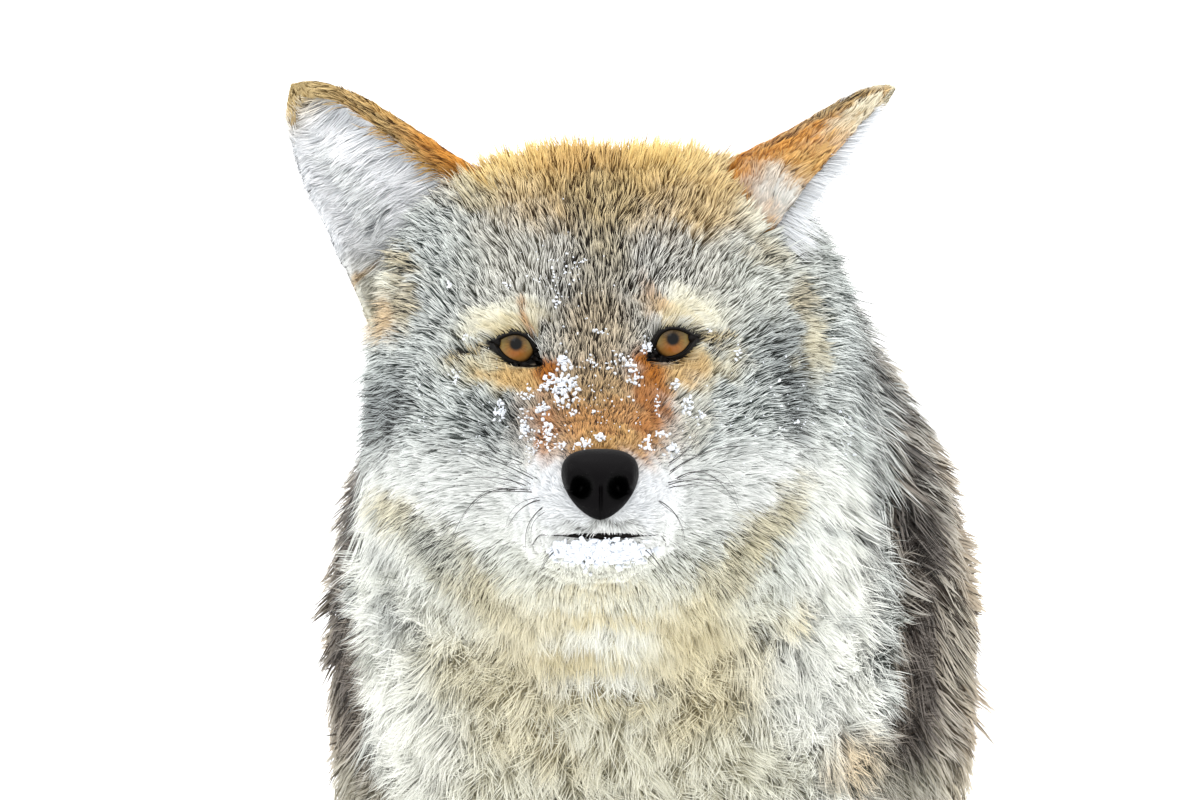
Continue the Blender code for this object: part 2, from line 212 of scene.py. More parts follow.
# IRIS upper is the iris darkened by painted shade of the upper lid; lower is its colour in the light below.
IRIS = {
    "upper": "#140d06", "lower": "#785a2a", "ring": "#6e623a", "warm": "#8c4a14", "pupil": "#040303",
    "edge": "#0a0705",
}
SKIN_TIP_SHARE = 0.25  # the skin shows the colour of the roots with this share of the tips'
MARK_SOFT = 0.7  # a mark's share falls as exp(-soft r^4), where r is 1 at its size
MARK_WOBBLE = 2.2  # mm that marks wander
BODY_FROM, BODY_LATER = 0.116, 0.044  # the body's tones start here (m), and later low and at -X

# Marks of the face and chest, broad ones first: mm right of the midline and above the eye line as
# they line up from ahead, half width, half height, tilt in degrees, tone, strength.
MARKS = (
    (0, 64, 66, 46, 0, "grizzle", 1.00),  # forehead
    (-68, 60, 18, 22, 0, "ash", 0.85),  # temples
    (70, 48, 18, 24, 0, "ash", 0.70),
    (60, 52, 26, 24, 0, "cream", 0.25),
    (-38, 58, 20, 20, 0, "cream", 0.20),
    (0, 99, 64, 19, 0, "crown", 0.98),  # crown
    (-6, 95, 18, 8, 0, "rust", 0.50),
    (-49, 86, 12, 9, -35, "olive", 0.75),
    (-46, 94, 10, 6, -20, "crown", 0.70),
    (48, 80, 18, 11, 30, "crown", 0.60),
    (46, 78, 18, 12, 30, "tan", 0.35),
    (70, 78, 12, 10, 30, "cream", 0.85),
    (66, 60, 10, 5, -35, "umber", 0.55),
    (-1, 81, 40, 14, 0, "tan", 0.70),
    (1, 74, 13, 20, 0, "umber", 0.55),  # dark line up the forehead
    (0, 52, 10, 16, 0, "umber", 0.32),
    (-2, 26, 17, 16, 0, "tan", 0.55),  # between the eyes
    (-88, -10, 10, 22, -14, "slate", 0.95),  # dark cheek edges
    (-79, -31, 12, 8, -30, "slate", 0.60),
    (-64, -18, 16, 5, -20, "slate", 0.35),
    (79, 2, 9, 25, 4, "slate", 0.80),
    (69, 20, 9, 13, 10, "slate", 0.45),
    (100, 0, 6, 24, 0, "slate", 0.50),
    (-52, -39, 40, 20, -8, "milk", 1.00),  # lower cheeks
    (54, -35, 34, 18, 8, "milk", 1.00),
    (95, 0, 9, 24, 8, "ash", 0.40),
    (-40, -6, 13, 12, 0, "slate", 0.65),  # beside the bridge
    (-52, -1, 12, 6, -10, "ash", 0.60),
    (37, -6, 6, 14, 0, "olive", 0.45),
    (0, -42, 30, 21, 0, "snow", 1.00),  # muzzle
    (-38, 10, 20, 7.5, -10, "straw", 0.80),  # below the eyes
    (-33, 8, 14, 5, -12, "ochre", 0.85),
    (38, 12, 17, 8, 10, "straw", 0.80),
    (33, 11, 13, 6, 12, "ochre", 0.80),
    (-40, 33, 17, 6, 16, "cream", 0.85),  # above the eyes
    (-36, 31, 14, 3.5, 14, "straw", 0.70),
    (34, 37, 17, 7, -16, "cream", 0.85),
    (30, 36, 12, 4, -16, "straw", 0.70),
    (-31, 32, 2.6, 8, 8, "rust", 0.70),
    (20, 41, 4.5, 9, 28, "rust", 0.50),
    (-52, 20, 9, 2.2, 18, "umber", 0.95),  # lines outwards from the eyes
    (45, 26, 9, 2.2, -14, "umber", 0.95),
    (-91, 48, 8, 8, 0, "cream", 0.80),  # below the ears
    (-87, 32, 6, 9, 0, "ochre", 0.70),
    (-79, 41, 4, 13, 10, "umber", 0.70),
    (-80, 57, 12, 4.5, -30, "umber", 0.65),
    (80, 40, 5, 8, 10, "umber", 0.65),
    (86, 22, 6, 14, 0, "straw", 0.60),
    (0, -7, 27, 20, 0, "rust", 0.98),  # bridge of the muzzle
    (-2, 6, 15, 8, 0, "umber", 0.50),
    (21, 0, 6.0, 20, -6, "sienna", 0.85),
    (-23, -14, 4.5, 12, 0, "sienna", 0.70),
    (4, -17, 17, 5, 0, "ochre", 0.60),
    (-22, 11, 5, 6.5, -30, "sienna", 1.00),  # inner corners of the eyes
    (19, 14, 4.5, 7, 25, "sienna", 1.00),
    (-22, -35, 7, 12, -20, "snow", 0.90),  # sides of the nose
    (23, -38, 7, 11, 20, "snow", 0.90),
    (2, -50.6, 15, 2.0, 0, "slate", 0.60),  # lips and chin
    (0, -59, 25, 5, 0, "snow", 1.00),
    (0, -128, 116, 60, 0, "cream", 0.98),  # chest
    (-97, -96, 25, 60, -4, "fleece", 0.98),
    (98, -92, 18, 76, 2, "fleece", 0.98),
    (84, -116, 24, 24, 0, "fleece", 0.90),
    (-78, -140, 24, 24, 0, "fleece", 0.75),
    (-81, -46, 12, 7, -35, "olive", 0.80),  # dusky bands under the cheeks: painted shade under the cheeks' ruff
    (-62, -62, 20, 8, -38, "olive", 0.95),
    (-46, -77, 17, 8, -42, "olive", 0.70),
    (-22, -100, 21, 14, -35, "straw", 0.45),
    (77, -39, 10, 6, 60, "olive", 0.55),
    (65, -53, 16, 7, 38, "olive", 0.80),
    (49, -71, 18, 8, 36, "olive", 0.70),
    (36, -89, 14, 10, 30, "straw", 0.60),
    (-1, -76, 20, 2.4, 3, "straw", 0.65),  # folds of the chest: the straw rows are painted shadow under each fold, between paler fleece rows
    (2, -87, 22, 2.8, -3, "straw", 0.75),
    (0, -96, 22, 3.6, 0, "fleece", 0.80),
    (-3, -104, 24, 2.6, -3, "straw", 0.65),
    (0, -113, 24, 3.8, 0, "fleece", 0.80),
    (2, -123, 26, 2.6, 2, "straw", 0.55),
    (66, -93, 5, 4, 0, "slate", 0.75),
    # straw patches on the chest: painted shade between its tufts
    (78, -88, 8, 6, 40, "straw", 0.55),
    (40, -104, 20, 14, 25, "straw", 0.45),
    (44, -126, 24, 8, 25, "straw", 0.50),
    (-42, -112, 26, 14, -20, "straw", 0.35),
    (-28, -140, 24, 7, -20, "straw", 0.40),
    (103, -146, 12, 12, 0, "tan", 0.60),
    (-85, -86, 6, 12, 10, "slate", 0.40),
    (-88, -62, 6, 6, 0, "slate", 0.35),
    (93, -52, 8, 3, -20, "slate", 0.50),
    (98, -88, 7, 4, 0, "slate", 0.45),
    (96, -6, 10, 22, 8, "ash", 0.55),
    (0, -73, 36, 11, 0, "ash", 0.20),
    (-66, -59, 18, 8, -38, "ash", 0.60),
    (-68, -56, 14, 6, -38, "slate", 0.30),
    # straw patch on the chest: painted shade between its tufts
    (46, -106, 24, 16, 25, "straw", 0.30),
    (0, -78, 32, 12, 0, "olive", 0.22),
    (39, -5, 12, 14, 0, "milk", 0.28),
)
# Marks of the ears, broad ones first: height and width on the ear (a, b), half height, half width,
# tone, strength. a runs from 0 at the base to 1 at the tip, b from -1 at the outer rim to 1 at the
# crown's rim.
EAR_MARKS = {
    "right_lining": (
        (0.42, -0.45, 0.30, 0.20, "ash", 0.38),  # painted grey shade along the seam where the lining's hairs meet
        (-0.16, -0.90, 0.30, 0.36, "cream", 0.95),  # lower lobe
        (-0.17, -0.66, 0.11, 0.20, "orange", 0.85),
        (0.00, -0.20, 0.07, 0.34, "umber", 0.65),  # painted shade in the pocket at the ear's base
        (-0.16, -0.25, 0.11, 0.30, "tan", 0.65),
        (0.14, -0.90, 0.02, 0.16, "ochre", 0.70),
        (0.98, 0.10, 0.12, 1.40, "tan", 0.60),  # tip
        (0.98, 0.10, 0.12, 1.40, "straw", 0.45),
    ),
    "right_back": (
        (0.96, 0.0, 0.24, 1.5, "tan", 0.60),
        (0.98, 0.0, 0.16, 1.5, "straw", 0.45),
        (0.60, 0.78, 0.34, 0.16, "tan", 0.75),
        (0.15, 0.95, 0.30, 0.30, "orange", 0.90),
        (0.40, 0.0, 0.40, 0.35, "umber", 0.45),
        (0.40, -1.10, 0.80, 0.22, "cream", 0.95),  # outer rim
    ),
    "left_lining": (
        # painted grey shade in the cup of the lining
        (0.35, -0.30, 0.35, 0.40, "ash", 0.30),
        (0.08, -0.98, 0.10, 0.30, "umber", 0.80),  # notch
        (-0.12, -0.85, 0.12, 0.40, "fawn", 0.80),
        (0.96, 0.0, 0.08, 1.5, "straw", 0.95),
        (0.60, 1.02, 0.40, 0.16, "straw", 0.90),  # upper rim
    ),
    "left_back": (
        (0.20, 0.30, 0.36, 0.55, "orange", 0.98),
        (0.45, 0.75, 0.20, 0.30, "orange", 0.70),
        (0.76, 0.40, 0.24, 0.50, "tan", 0.80),
        (0.50, 0.62, 0.30, 0.14, "umber", 0.50),
        (-0.06, 1.05, 0.17, 0.33, "milk", 0.98),
        (0.85, 1.00, 0.40, 0.12, "cream", 0.75),
        (0.99, 0.20, 0.10, 1.50, "cream", 0.80),
    ),
}

# ---- Hair, whiskers and snow --------------------------------------------------------------------
# A row for each piece of fur: hairs, steps of a hair, its width (m), stretch of the length, size of a
# tuft (m), pull to its middle, stray of single hairs and wool of whole tufts (radians), lean of the
# tufts, lift of the longest tips (m).
HAIR = {
    "muzzle": (38000, 2, 0.00030, 0.85, 0.0020, 0.35, 0.18, 0.12, 0.10, 0.0),
    "face": (46000, 2, 0.00045, 0.50, 0.0022, 0.45, 0.14, 0.12, 0.12, 0.002),
    "cheek": (39000, 2, 0.00047, 0.42, 0.0026, 0.55, 0.18, 0.20, 0.14, 0.006),
    "crown": (29000, 2, 0.00056, 0.60, 0.0036, 0.55, 0.16, 0.16, 0.14, 0.007),
    "chest": (36000, 3, 0.00046, 0.38, 0.0052, 0.50, 0.38, 0.85, 0.18, 0.006),
    "body": (31000, 2, 0.00105, 0.68, 0.0070, 0.60, 0.14, 0.14, 0.11, 0.0),
    "guard": (2400, 3, 0.00038, 0.60, 0.0060, 0.20, 0.34, 0.20, 0.20, 0.016),
    "left_ear_lining": (3500, 3, 0.00036, 1.00, 0.0035, 0.50, 0.16, 0.14, 0.10, 0.0),
    "left_ear_back": (9000, 2, 0.00044, 1.00, 0.0035, 0.50, 0.16, 0.14, 0.10, 0.0),
    "right_ear_lining": (9000, 3, 0.00036, 1.00, 0.0035, 0.50, 0.16, 0.14, 0.10, 0.0),
    "right_ear_back": (9000, 2, 0.00044, 1.00, 0.0035, 0.50, 0.16, 0.14, 0.10, 0.0),
    "left_eye_lid": (6000, 2, 0.00034, 1.00, 0.0020, 0.40, 0.12, 0.08, 0.10, 0.0),
    "right_eye_lid": (6000, 2, 0.00034, 1.00, 0.0020, 0.40, 0.12, 0.08, 0.10, 0.0),
}
# Tufts gather in larger ones, this many times their size, with these shares of their pull and wool.
COARSE_TUFT, COARSE_PULL, COARSE_WOOL = 2.6, 0.45, 0.7
FLOW_SIZE, FLOW_TURN = 0.030, 0.18  # all hair turns in waves of this length (m), by so many radians
# Ranges of a hair's own share and of its tuft's: of the coat's depth, of the length and of the width
# that it gets, and of the brightness.
HAIR_REACH, TUFT_REACH = (0.55, 1.0), (0.85, 1.0)
HAIR_LENGTH, HAIR_WIDTH = (0.75, 1.12), (0.7, 1.3)
HAIR_BRIGHT, TUFT_BRIGHT = (0.86, 1.08), (0.90, 1.06)
OWN_DRAW, TUFT_DRAW = 0.75, 0.25  # what each has to say on which hairs are black
CELL_PRIMES = (73856093, 19349663, 83492791)  # number the cells of the tufts
HAIR_TWIST = 0.5  # turn of a hair's flat side, radians
BLACK_SHARE = 0.92  # of the share of black hairs that a tone gives
FADED_TIP = 0.35  # most that a tip takes of its root's colour
FLOOR_GAP, LOWEST_ROOT = 0.0006, -0.004  # hair stays this high (m), and roots are no lower than this
# Fringe of the turned ear: hairs, their width (m) and the turn of their flat side.
FRINGE_HAIRS, FRINGE_WIDTH, FRINGE_TWIST = 2600, 0.00032, 0.6

# Whiskers: root, middle and tip on the face plane, mm right and up.
WHISKERS = (
    (-26.8, -31.6, -46.0, -21.0, -62.4, -18.6),
    (-29.7, -34.2, -42.4, -29.0, -55.0, -32.0),
    (-27.2, -36.8, -43.0, -36.0, -59.0, -37.2),
    (-31.0, -25.4, -41.0, -20.5, -51.0, -18.5),
    (-34.0, -36.0, -52.0, -33.0, -59.6, -56.8),
    (-22.4, -42.8, -31.0, -48.0, -29.7, -59.4),
    (-24.0, -40.0, -33.0, -42.0, -37.0, -51.0),
    (28.0, -28.6, 41.0, -19.5, 55.2, -18.6),
    (27.6, -25.1, 37.0, -20.0, 38.4, -13.4),
    (30.6, -31.6, 44.0, -22.0, 55.6, -43.6),
    (28.0, -35.1, 36.0, -33.0, 45.2, -34.7),
    (27.5, -34.0, 42.0, -29.0, 57.0, -36.0),
    (23.6, -40.3, 33.0, -45.0, 34.0, -56.8),
    (17.6, -59.4, 25.0, -66.0, 30.4, -75.9),
    (-16.0, -59.0, -22.0, -63.0, -24.0, -70.0),
)
WHISKER_STEPS = 14
WHISKER_RADIUS, FINE_WHISKER_RADIUS = 0.00023, 0.00013

# Snow: centre on the face plane, spread to the sides and up (mm), tilt (degrees), grains, size (mm).
SNOW = (
    (-14.6, 4.8, 5.5, 6.5, 0, 118, 1.8),  # left of the bridge
    (-15.0, 15.5, 2.4, 4.2, 0, 37, 1.7),
    (-21.5, 6.5, 3.2, 3.0, 0, 22, 1.4),
    (-22.5, -3.9, 3.2, 2.6, 0, 27, 1.5),
    (-39.3, -3.9, 2.4, 4.6, 0, 31, 1.5),
    (-30.0, 2.2, 3.6, 3.0, 0, 22, 1.2),
    (-29.3, -10.0, 2.6, 6.0, 0, 40, 1.4),
    (-20.6, -13.4, 3.0, 3.6, 0, 26, 1.4),
    (-26.8, -18.0, 2.2, 7.0, 0, 31, 1.0),
    (-14.6, -18.6, 6.5, 1.8, 0, 21, 1.4),  # above the nose
    (-6.0, -17.0, 2.6, 1.8, 0, 16, 1.5),
    (0.6, -15.2, 2.4, 2.0, 0, 14, 1.5),
    (-2.0, -4.7, 1.2, 1.0, 0, 4, 1.4),
    (-11.2, -5.2, 1.6, 1.6, 0, 6, 1.4),
    (11.5, 14.4, 6.4, 2.0, -48, 32, 1.5),  # right of the bridge
    (13.3, 7.0, 4.4, 1.0, -25, 16, 1.2),
    (18.8, 21.3, 2.6, 3.0, 0, 27, 1.5),
    (0.2, 27.4, 3.4, 1.3, 0, 10, 1.2),
    (-3.3, 14.4, 5.5, 3.0, 0, 21, 1.0),
    (4.4, 13.6, 3.4, 2.6, 0, 12, 1.2),
    (30.0, 5.7, 2.4, 2.0, 0, 15, 1.4),
    (34.8, -3.0, 2.4, 3.4, 0, 29, 1.5),
    (39.5, -7.0, 2.4, 2.2, 0, 15, 1.2),
    (22.8, -3.9, 1.4, 4.0, 0, 14, 1.2),
    (24.0, -13.4, 2.6, 1.8, 0, 15, 1.4),
    (18.8, -16.0, 1.8, 1.6, 0, 10, 1.2),
    (17.6, -19.0, 3.0, 1.6, 0, 12, 1.2),
    (28.5, -20.4, 3.8, 2.6, 0, 25, 1.4),
    (55.6, 18.8, 1.4, 3.2, 0, 10, 1.2),
    (78.0, -6.0, 8.0, 17.0, 0, 26, 0.9),
    (43.0, 28.0, 1.6, 1.4, 0, 7, 1.2),
    (-16.8, 39.6, 2.2, 3.0, 0, 15, 1.2),  # forehead
    (-20.0, 50.0, 4.0, 6.0, 0, 17, 0.9),
    (-11.2, 53.0, 6.0, 4.0, 0, 19, 0.9),
    (-60.5, 45.6, 1.3, 1.4, 0, 6, 1.2),
    (-36.8, 46.0, 1.6, 1.2, 0, 6, 1.2),
    (-57.6, 9.0, 2.0, 4.0, 0, 14, 1.0),
    (-53.6, 25.6, 2.0, 1.4, 0, 5, 1.0),
    (0.0, -5.0, 24.0, 14.0, 0, 74, 0.8),  # scattered grains
    (-15.0, 45.0, 22.0, 26.0, 0, 37, 0.8),
    (-58.0, -6.0, 26.0, 24.0, 0, 50, 0.8),
    (55.0, -5.0, 24.0, 26.0, 0, 43, 0.8),
    (100.0, -16.0, 6.0, 18.0, 0, 37, 1.0),
    (-1.2, -20.8, 1.6, 1.0, 0, 6, 1.0),  # on the nose
    (2.4, -21.8, 1.8, 1.4, 0, 7, 1.0),
    (-10.0, -60.0, 9.5, 3.8, -4, 190, 2.2),  # chin
    (0.0, -61.0, 13.5, 4.4, 0, 340, 2.5),
    (9.0, -60.5, 8.5, 3.8, 4, 190, 2.2),
    (3.0, -55.3, 1.6, 0.8, 0, 6, 1.0),
)
NOSE_SNOW = (9.0, -24.0, -17.5)  # it lies on the nose this near the midline, between these heights
# A grain is an icosahedron.
GOLD = (1 + 5**0.5) / 2
GRAIN_CORNERS = (
    (-1, GOLD, 0), (1, GOLD, 0), (-1, -GOLD, 0), (1, -GOLD, 0), (0, -1, GOLD), (0, 1, GOLD),
    (0, -1, -GOLD), (0, 1, -GOLD), (GOLD, 0, -1), (GOLD, 0, 1), (-GOLD, 0, -1), (-GOLD, 0, 1),
)
GRAIN_FACES = (
    (0, 11, 5), (0, 5, 1), (0, 1, 7), (0, 7, 10), (0, 10, 11), (1, 5, 9), (5, 11, 4), (11, 10, 2),
    (10, 7, 6), (7, 1, 8), (3, 9, 4), (3, 4, 2), (3, 2, 6), (3, 6, 8), (3, 8, 9), (4, 9, 5),
    (2, 4, 11), (6, 2, 10), (8, 6, 7), (9, 8, 1),
)

FLOOR_REACH, FLOOR_DROP = 30.0, 0.001  # half the floor's side, and how far it lies below the base
LAMPS_AIM = (0, -0.1, 0.15)  # both lamps point here


# ---- Numbers ------------------------------------------------------------------------------------
def linear(colour):
    """An sRGB hex colour as linear red, green and blue."""
    part = np.array([int(colour[i : i + 2], 16) for i in (1, 3, 5)]) / 255
    return np.where(part <= 0.04045, part / 12.92, ((part + 0.055) / 1.055) ** 2.4)


def smooth(low, high, value):
    """0 below low, 1 above high, and an even S-shaped rise between them."""
    t = np.clip((value - low) / (high - low), 0, 1)
    return t * t * (3 - 2 * t)


def mix(first, second, share):
    """The first value where share is 0, the second where it is 1."""
    return first + (second - first) * share


def unit(vector):
    """Vectors brought to length 1."""
    return vector / np.maximum(np.linalg.norm(vector, axis=-1, keepdims=True), 1e-9)


def dot(a, b):
    """Dot products, kept as a last axis of one."""
    return np.sum(a * b, axis=-1, keepdims=True)


def turned(x, z, degrees):
    """Coordinates x and z read on axes that are turned by an angle from the level ones."""
    cos, sin = math.cos(math.radians(degrees)), math.sin(math.radians(degrees))
    return x * cos + z * sin, z * cos - x * sin


def waves(point, size, seed):
    """Soft noise from -1 to 1: nine sine waves of about the given length, in random directions."""
    rng = np.random.default_rng(seed)
    way = rng.normal(size=(9, 3))
    pace = rng.uniform(0.7, 1.6, (9, 1)) * 2 * math.pi / size
    way *= pace / np.linalg.norm(way, axis=1, keepdims=True)
    return np.sin(point @ way.T + rng.uniform(0, 6.28, 9)).sum(axis=-1) / 3.2


def soft_least(a, b, sharp):
    """The lesser of two values, rounded where they meet: -log(e^-ka + e^-kb) / k."""
    level = a.mean()
    return -np.log(np.exp(-sharp * (a - level)) + np.exp(-sharp * (b - level))) / sharp + level


def smooth_table(rows, at):
    """Reads each column of rows at fractional row numbers, by cubics that never overshoot a row."""
    rows = np.asarray(rows, float)
    step = np.diff(rows, axis=0)
    slope = np.zeros_like(rows)
    same_way = step[:-1] * step[1:] > 0
    with np.errstate(divide="ignore", invalid="ignore"):
        harmonic = 2 * step[:-1] * step[1:] / (step[:-1] + step[1:])
    slope[1:-1] = np.where(same_way, harmonic, 0.0)
    slope[0], slope[-1] = step[0], step[-1]
    low = np.minimum(at.astype(int), len(rows) - 2)
    t = (at - low)[..., None]
    return (
        (2 * t**3 - 3 * t**2 + 1) * rows[low]
        + (t**3 - 2 * t**2 + t) * slope[low]
        + (3 * t**2 - 2 * t**3) * rows[low + 1]
        + (t**3 - t**2) * slope[low + 1]
    )


# ---- Hides --------------------------------------------------------------------------------------
# Columns of a hide's fields.
PLACE, NORMAL, ALONG, ACROSS = (slice(i, i + 3) for i in (0, 3, 6, 9))
DEPTH, LENGTH, FALL = 12, 13, 14
LIES = slice(15, 18)


def grid_ways(outer):
    """The ways along and across a grid of closed rings, and its unit normals."""
    along = np.gradient(outer, axis=0)
    across = (np.roll(outer, -1, axis=1) - np.roll(outer, 1, axis=1)) / 2
    return along, across, unit(np.cross(along, across))


def grid_steps(field, move):
    """How many rows and columns of a hide a move along it takes, by least squares."""
    along, across = field[:, ALONG], field[:, ACROSS]
    g11, g12, g22 = (along**2).sum(-1), (along * across).sum(-1), (across**2).sum(-1)
    b1, b2 = (move * along).sum(-1), (move * across).sum(-1)
    det = np.maximum(g11 * g22 - g12**2, 1e-14)
    rows, columns = (g22 * b1 - g12 * b2) / det, (g11 * b2 - g12 * b1) / det
    return np.clip(rows, -MOST_ROWS, MOST_ROWS), np.clip(columns, -MOST_COLUMNS, MOST_COLUMNS)


class Hide:
    """A skin given on a grid of closed rings: the coat's outside, its normals, the ways of both grid
    directions, the depth of the coat, the length of its hair, how far the hair falls and how it lies."""

    def __init__(self, outer, depth, length, fall, way=None):
        along, across, self.normal = grid_ways(outer)
        scalars = [part[..., None] for part in (depth, length, fall)]
        lies = along if way is None else way
        self.grid = np.concatenate([outer, self.normal, along, across, *scalars, lies], axis=-1)
        self.outer = outer
        self.skin = outer - self.normal * depth[..., None]
        self.area = np.linalg.norm(np.cross(along, across), axis=-1)

    def read(self, u, v):
        """All fields between grid points, by the four nearest."""
        rows, columns = self.grid.shape[:2]
        u, v = np.clip(u, 0, rows - 1.001), v % columns
        i, j = u.astype(int), v.astype(int) % columns
        k = (j + 1) % columns
        fu, fv = (u - i)[:, None], (v - np.floor(v))[:, None]
        near = self.grid[i, j] * (1 - fv) + self.grid[i, k] * fv
        far = self.grid[i + 1, j] * (1 - fv) + self.grid[i + 1, k] * fv
        return near * (1 - fu) + far * fu

    def scatter(self, count, density, rng):
        """Random places, evenly over the area times a density given on the grid."""
        weight = (self.area * density)[:-1]
        total = np.cumsum(weight.ravel())
        pick = np.searchsorted(total, rng.uniform(0, total[-1], count))
        i, j = np.unravel_index(pick, weight.shape)
        return i + rng.uniform(0, 1, count), j + rng.uniform(0, 1, count)


def face_plane(point):
    """Points drawn to the upright plane through the eyes, along lines to a place ahead of them; mm."""
    scale = 1000 * FACE_FROM / (FACE_FROM + point[..., 1] + EYES_AHEAD)
    return np.stack([point[..., 0] * scale, (point[..., 2] - EYE_LEVEL) * scale], axis=-1)


def head_hide():
    """The coat: squared ellipses about the stations, reach = (|cos/a|^n + |sin/b|^n)^(-1/n), with the
    relief of the head as bell curves along the normal, and thin about the eyes."""
    count = len(COAT_STATIONS)
    station = np.linspace(0, count - 1.0001, (count - 1) * ROWS_PER_STATION + 1)
    angle = np.arange(COLUMNS) * 2 * math.pi / COLUMNS
    station, angle = np.meshgrid(station, angle, indexing="ij")
    y, shift, half, top, widest, bottom, square_up, square_down = np.moveaxis(
        smooth_table(COAT_STATIONS, station), -1, 0
    )
    cos, sin = np.cos(angle), np.sin(angle)
    height = np.where(sin >= 0, top - widest, widest - bottom)
    power = np.where(sin >= 0, square_up, square_down)
    reach = (np.abs(cos / half) ** power + np.abs(sin / height) ** power) ** (-1 / power)
    outer = np.stack([shift + reach * cos, y - EYES_AHEAD, widest + reach * sin], axis=-1)
    growth = smooth_table(COAT_GROWTH, station)
    weight = np.stack([np.maximum(sin, 0) ** 2, cos**2, np.maximum(-sin, 0) ** 2], axis=-1)
    depth = (growth[..., 0:3] * weight).sum(axis=-1) / 1000
    length = (growth[..., 3:6] * weight).sum(axis=-1) / 1000
    normal = grid_ways(outer)[2]
    for (at_x, at_y, at_z), radius, rise in RELIEF:
        away = np.linalg.norm(outer - np.array([at_x, at_y - EYES_AHEAD, at_z]), axis=-1)
        outer = outer + normal * (rise * np.exp(-((away / radius) ** 2)))[..., None]
    for (at_x, _, at_z), _ in EYES.values():
        away = np.linalg.norm(outer - np.array([at_x, THIN_BEHIND - EYES_AHEAD, at_z]), axis=-1)
        close = np.exp(-((away / THIN_RADIUS) ** 2))
        depth, length = depth * (1 - THIN_DEPTH * close), length * (1 - THIN_LENGTH * close)
    return Hide(outer, depth, length, growth[..., 6])


def ear_axes(ear):
    """Base, length and the unit vectors along the ear, across it towards the crown, and out of its mouth."""
    base, tip, turn_deg, side = ear[:4]
    base, tip = (np.array([x, y - EYES_AHEAD, z]) for x, y, z in (base, tip))
    length = np.linalg.norm(tip - base)
    along = (tip - base) / length
    ahead = np.array([0.0, -1.0, 0.0])
    front = ahead - (ahead @ along) * along
    front /= np.linalg.norm(front)
    outward = np.cross(along, front) * side
    turn = math.radians(turn_deg)
    mouth = math.cos(turn) * front + math.sin(turn) * outward
    return base, length, along, np.cross(mouth, along) * side, mouth


def ear_arc(ear, a, b, shell, proud):
    """Points of an ear: at height a the cup is an arc of half angle falling from base to tip, its half
    width W (1 - taper a) sqrt(1 - a^8), and b runs along the arc from rim to rim. Shell is how far
    behind the lining they lie, proud how far past them along the arc."""
    base, length, along, across, mouth = ear_axes(ear)
    half = EAR_HALF_WIDTH * (1 - EAR_TAPER * a) * np.sqrt(1 - np.clip(a, 0, 1) ** 8)
    half = np.maximum(half * (1 - ear[5] * np.clip(EAR_WAIST - a, 0, 1)) - EAR_THICK / 2, 0.0004)
    cup = np.radians(np.interp(a, (0, 1), ear[4]))
    radius = half / np.sin(cup)
    turn = cup * b
    side = (radius + shell) * np.sin(turn) + proud * np.cos(turn)
    deep = radius * np.cos(cup) - (radius + shell) * np.cos(turn) + proud * np.sin(turn)
    return base + along * (length * a)[..., None] + across * side[..., None] + mouth * deep[..., None]


def ear_hide(ear):
    """An ear as one closed hide whose columns run over the lining, round the crown's rim, down the back
    and round the outer rim; long fur within that lies outwards, short fur behind that lies up the ear.
    Returns the hide and where on it the long fur grows: below a band along the crown's rim and the tip."""
    leaf_rows = np.linspace(EAR_ROOT, EAR_TIP_FROM, 40, endpoint=False)
    tip_rows = 1 - EAR_TIP_SHARE * np.linspace(1, 0.03, 18) ** 2
    flat, half_round = np.linspace(-1, 1, EAR_COLUMNS), np.linspace(0, math.pi, 9)[1:-1]
    none, full, rim = np.zeros(EAR_COLUMNS), np.ones(EAR_COLUMNS), np.ones(len(half_round))
    a, b = np.meshgrid(
        np.concatenate([leaf_rows, tip_rows]), np.concatenate([flat, rim, -flat, -rim]), indexing="ij"
    )
    back = np.concatenate([none, (1 - np.cos(half_round)) / 2, full, (1 + np.cos(half_round)) / 2])
    proud = np.concatenate([none, np.sin(half_round), none, -np.sin(half_round)]) * EAR_THICK / 2
    front = np.concatenate([full, 0 * rim, none, rim]) > 0.5
    below_tip = a + np.where(b > 0, 0.28, 0.10) * b**2 < 0.90
    lining = front[None, :] & below_tip & (b < 0.62 + 0.20 * (a < 0.1))
    thin = np.sqrt(1 - np.clip(a, 0, 1) ** 14)
    outer = ear_arc(ear, a, b, (back * (EAR_THICK + 0.001) - 0.001) * thin, proud * thin)
    within = lining.astype(float)
    depth = (0.0018 + 0.0016 * within * (1 - np.abs(b))) * thin
    length = (0.0065 + 0.0075 * within) * (1 - 0.75 * smooth(EAR_TIP_FROM, 0.98, a))
    _, _, along, across, _ = ear_axes(ear)
    outward, upward = unit(along * 0.15 - across * 0.95), unit(along - across * 0.1)
    way = np.where(lining[..., None], outward, upward)
    outside = outer - outer.mean(axis=1, keepdims=True)
    if dot(grid_ways(outer)[2], outside).mean() < 0:
        outer, depth, length, way, lining = (part[:, ::-1] for part in (outer, depth, length, way, lining))
    return Hide(outer, depth, length, 0 * a, way), lining


# ---- Colour of the coat -------------------------------------------------------------------------
def tone_values(name):
    """A tone as seven numbers: the colours of root and tip, and the share of black hairs."""
    root, tip, black = TONES[name]
    return np.concatenate([linear(root), linear(tip), [black]])


def one_tone(name, point):
    """The same tone at every point."""
    return np.tile(tone_values(name), (len(point), 1))


def lay(tone, name, share):
    """Lays a tone over others by a share from 0 to 1."""
    return mix(tone, tone_values(name), share[:, None])


def mark_share(away, strength):
    """Share of a mark at a squared distance from its middle, in its own size: s exp(-soft away^2)."""
    return strength * np.exp(-(away**2) * MARK_SOFT)


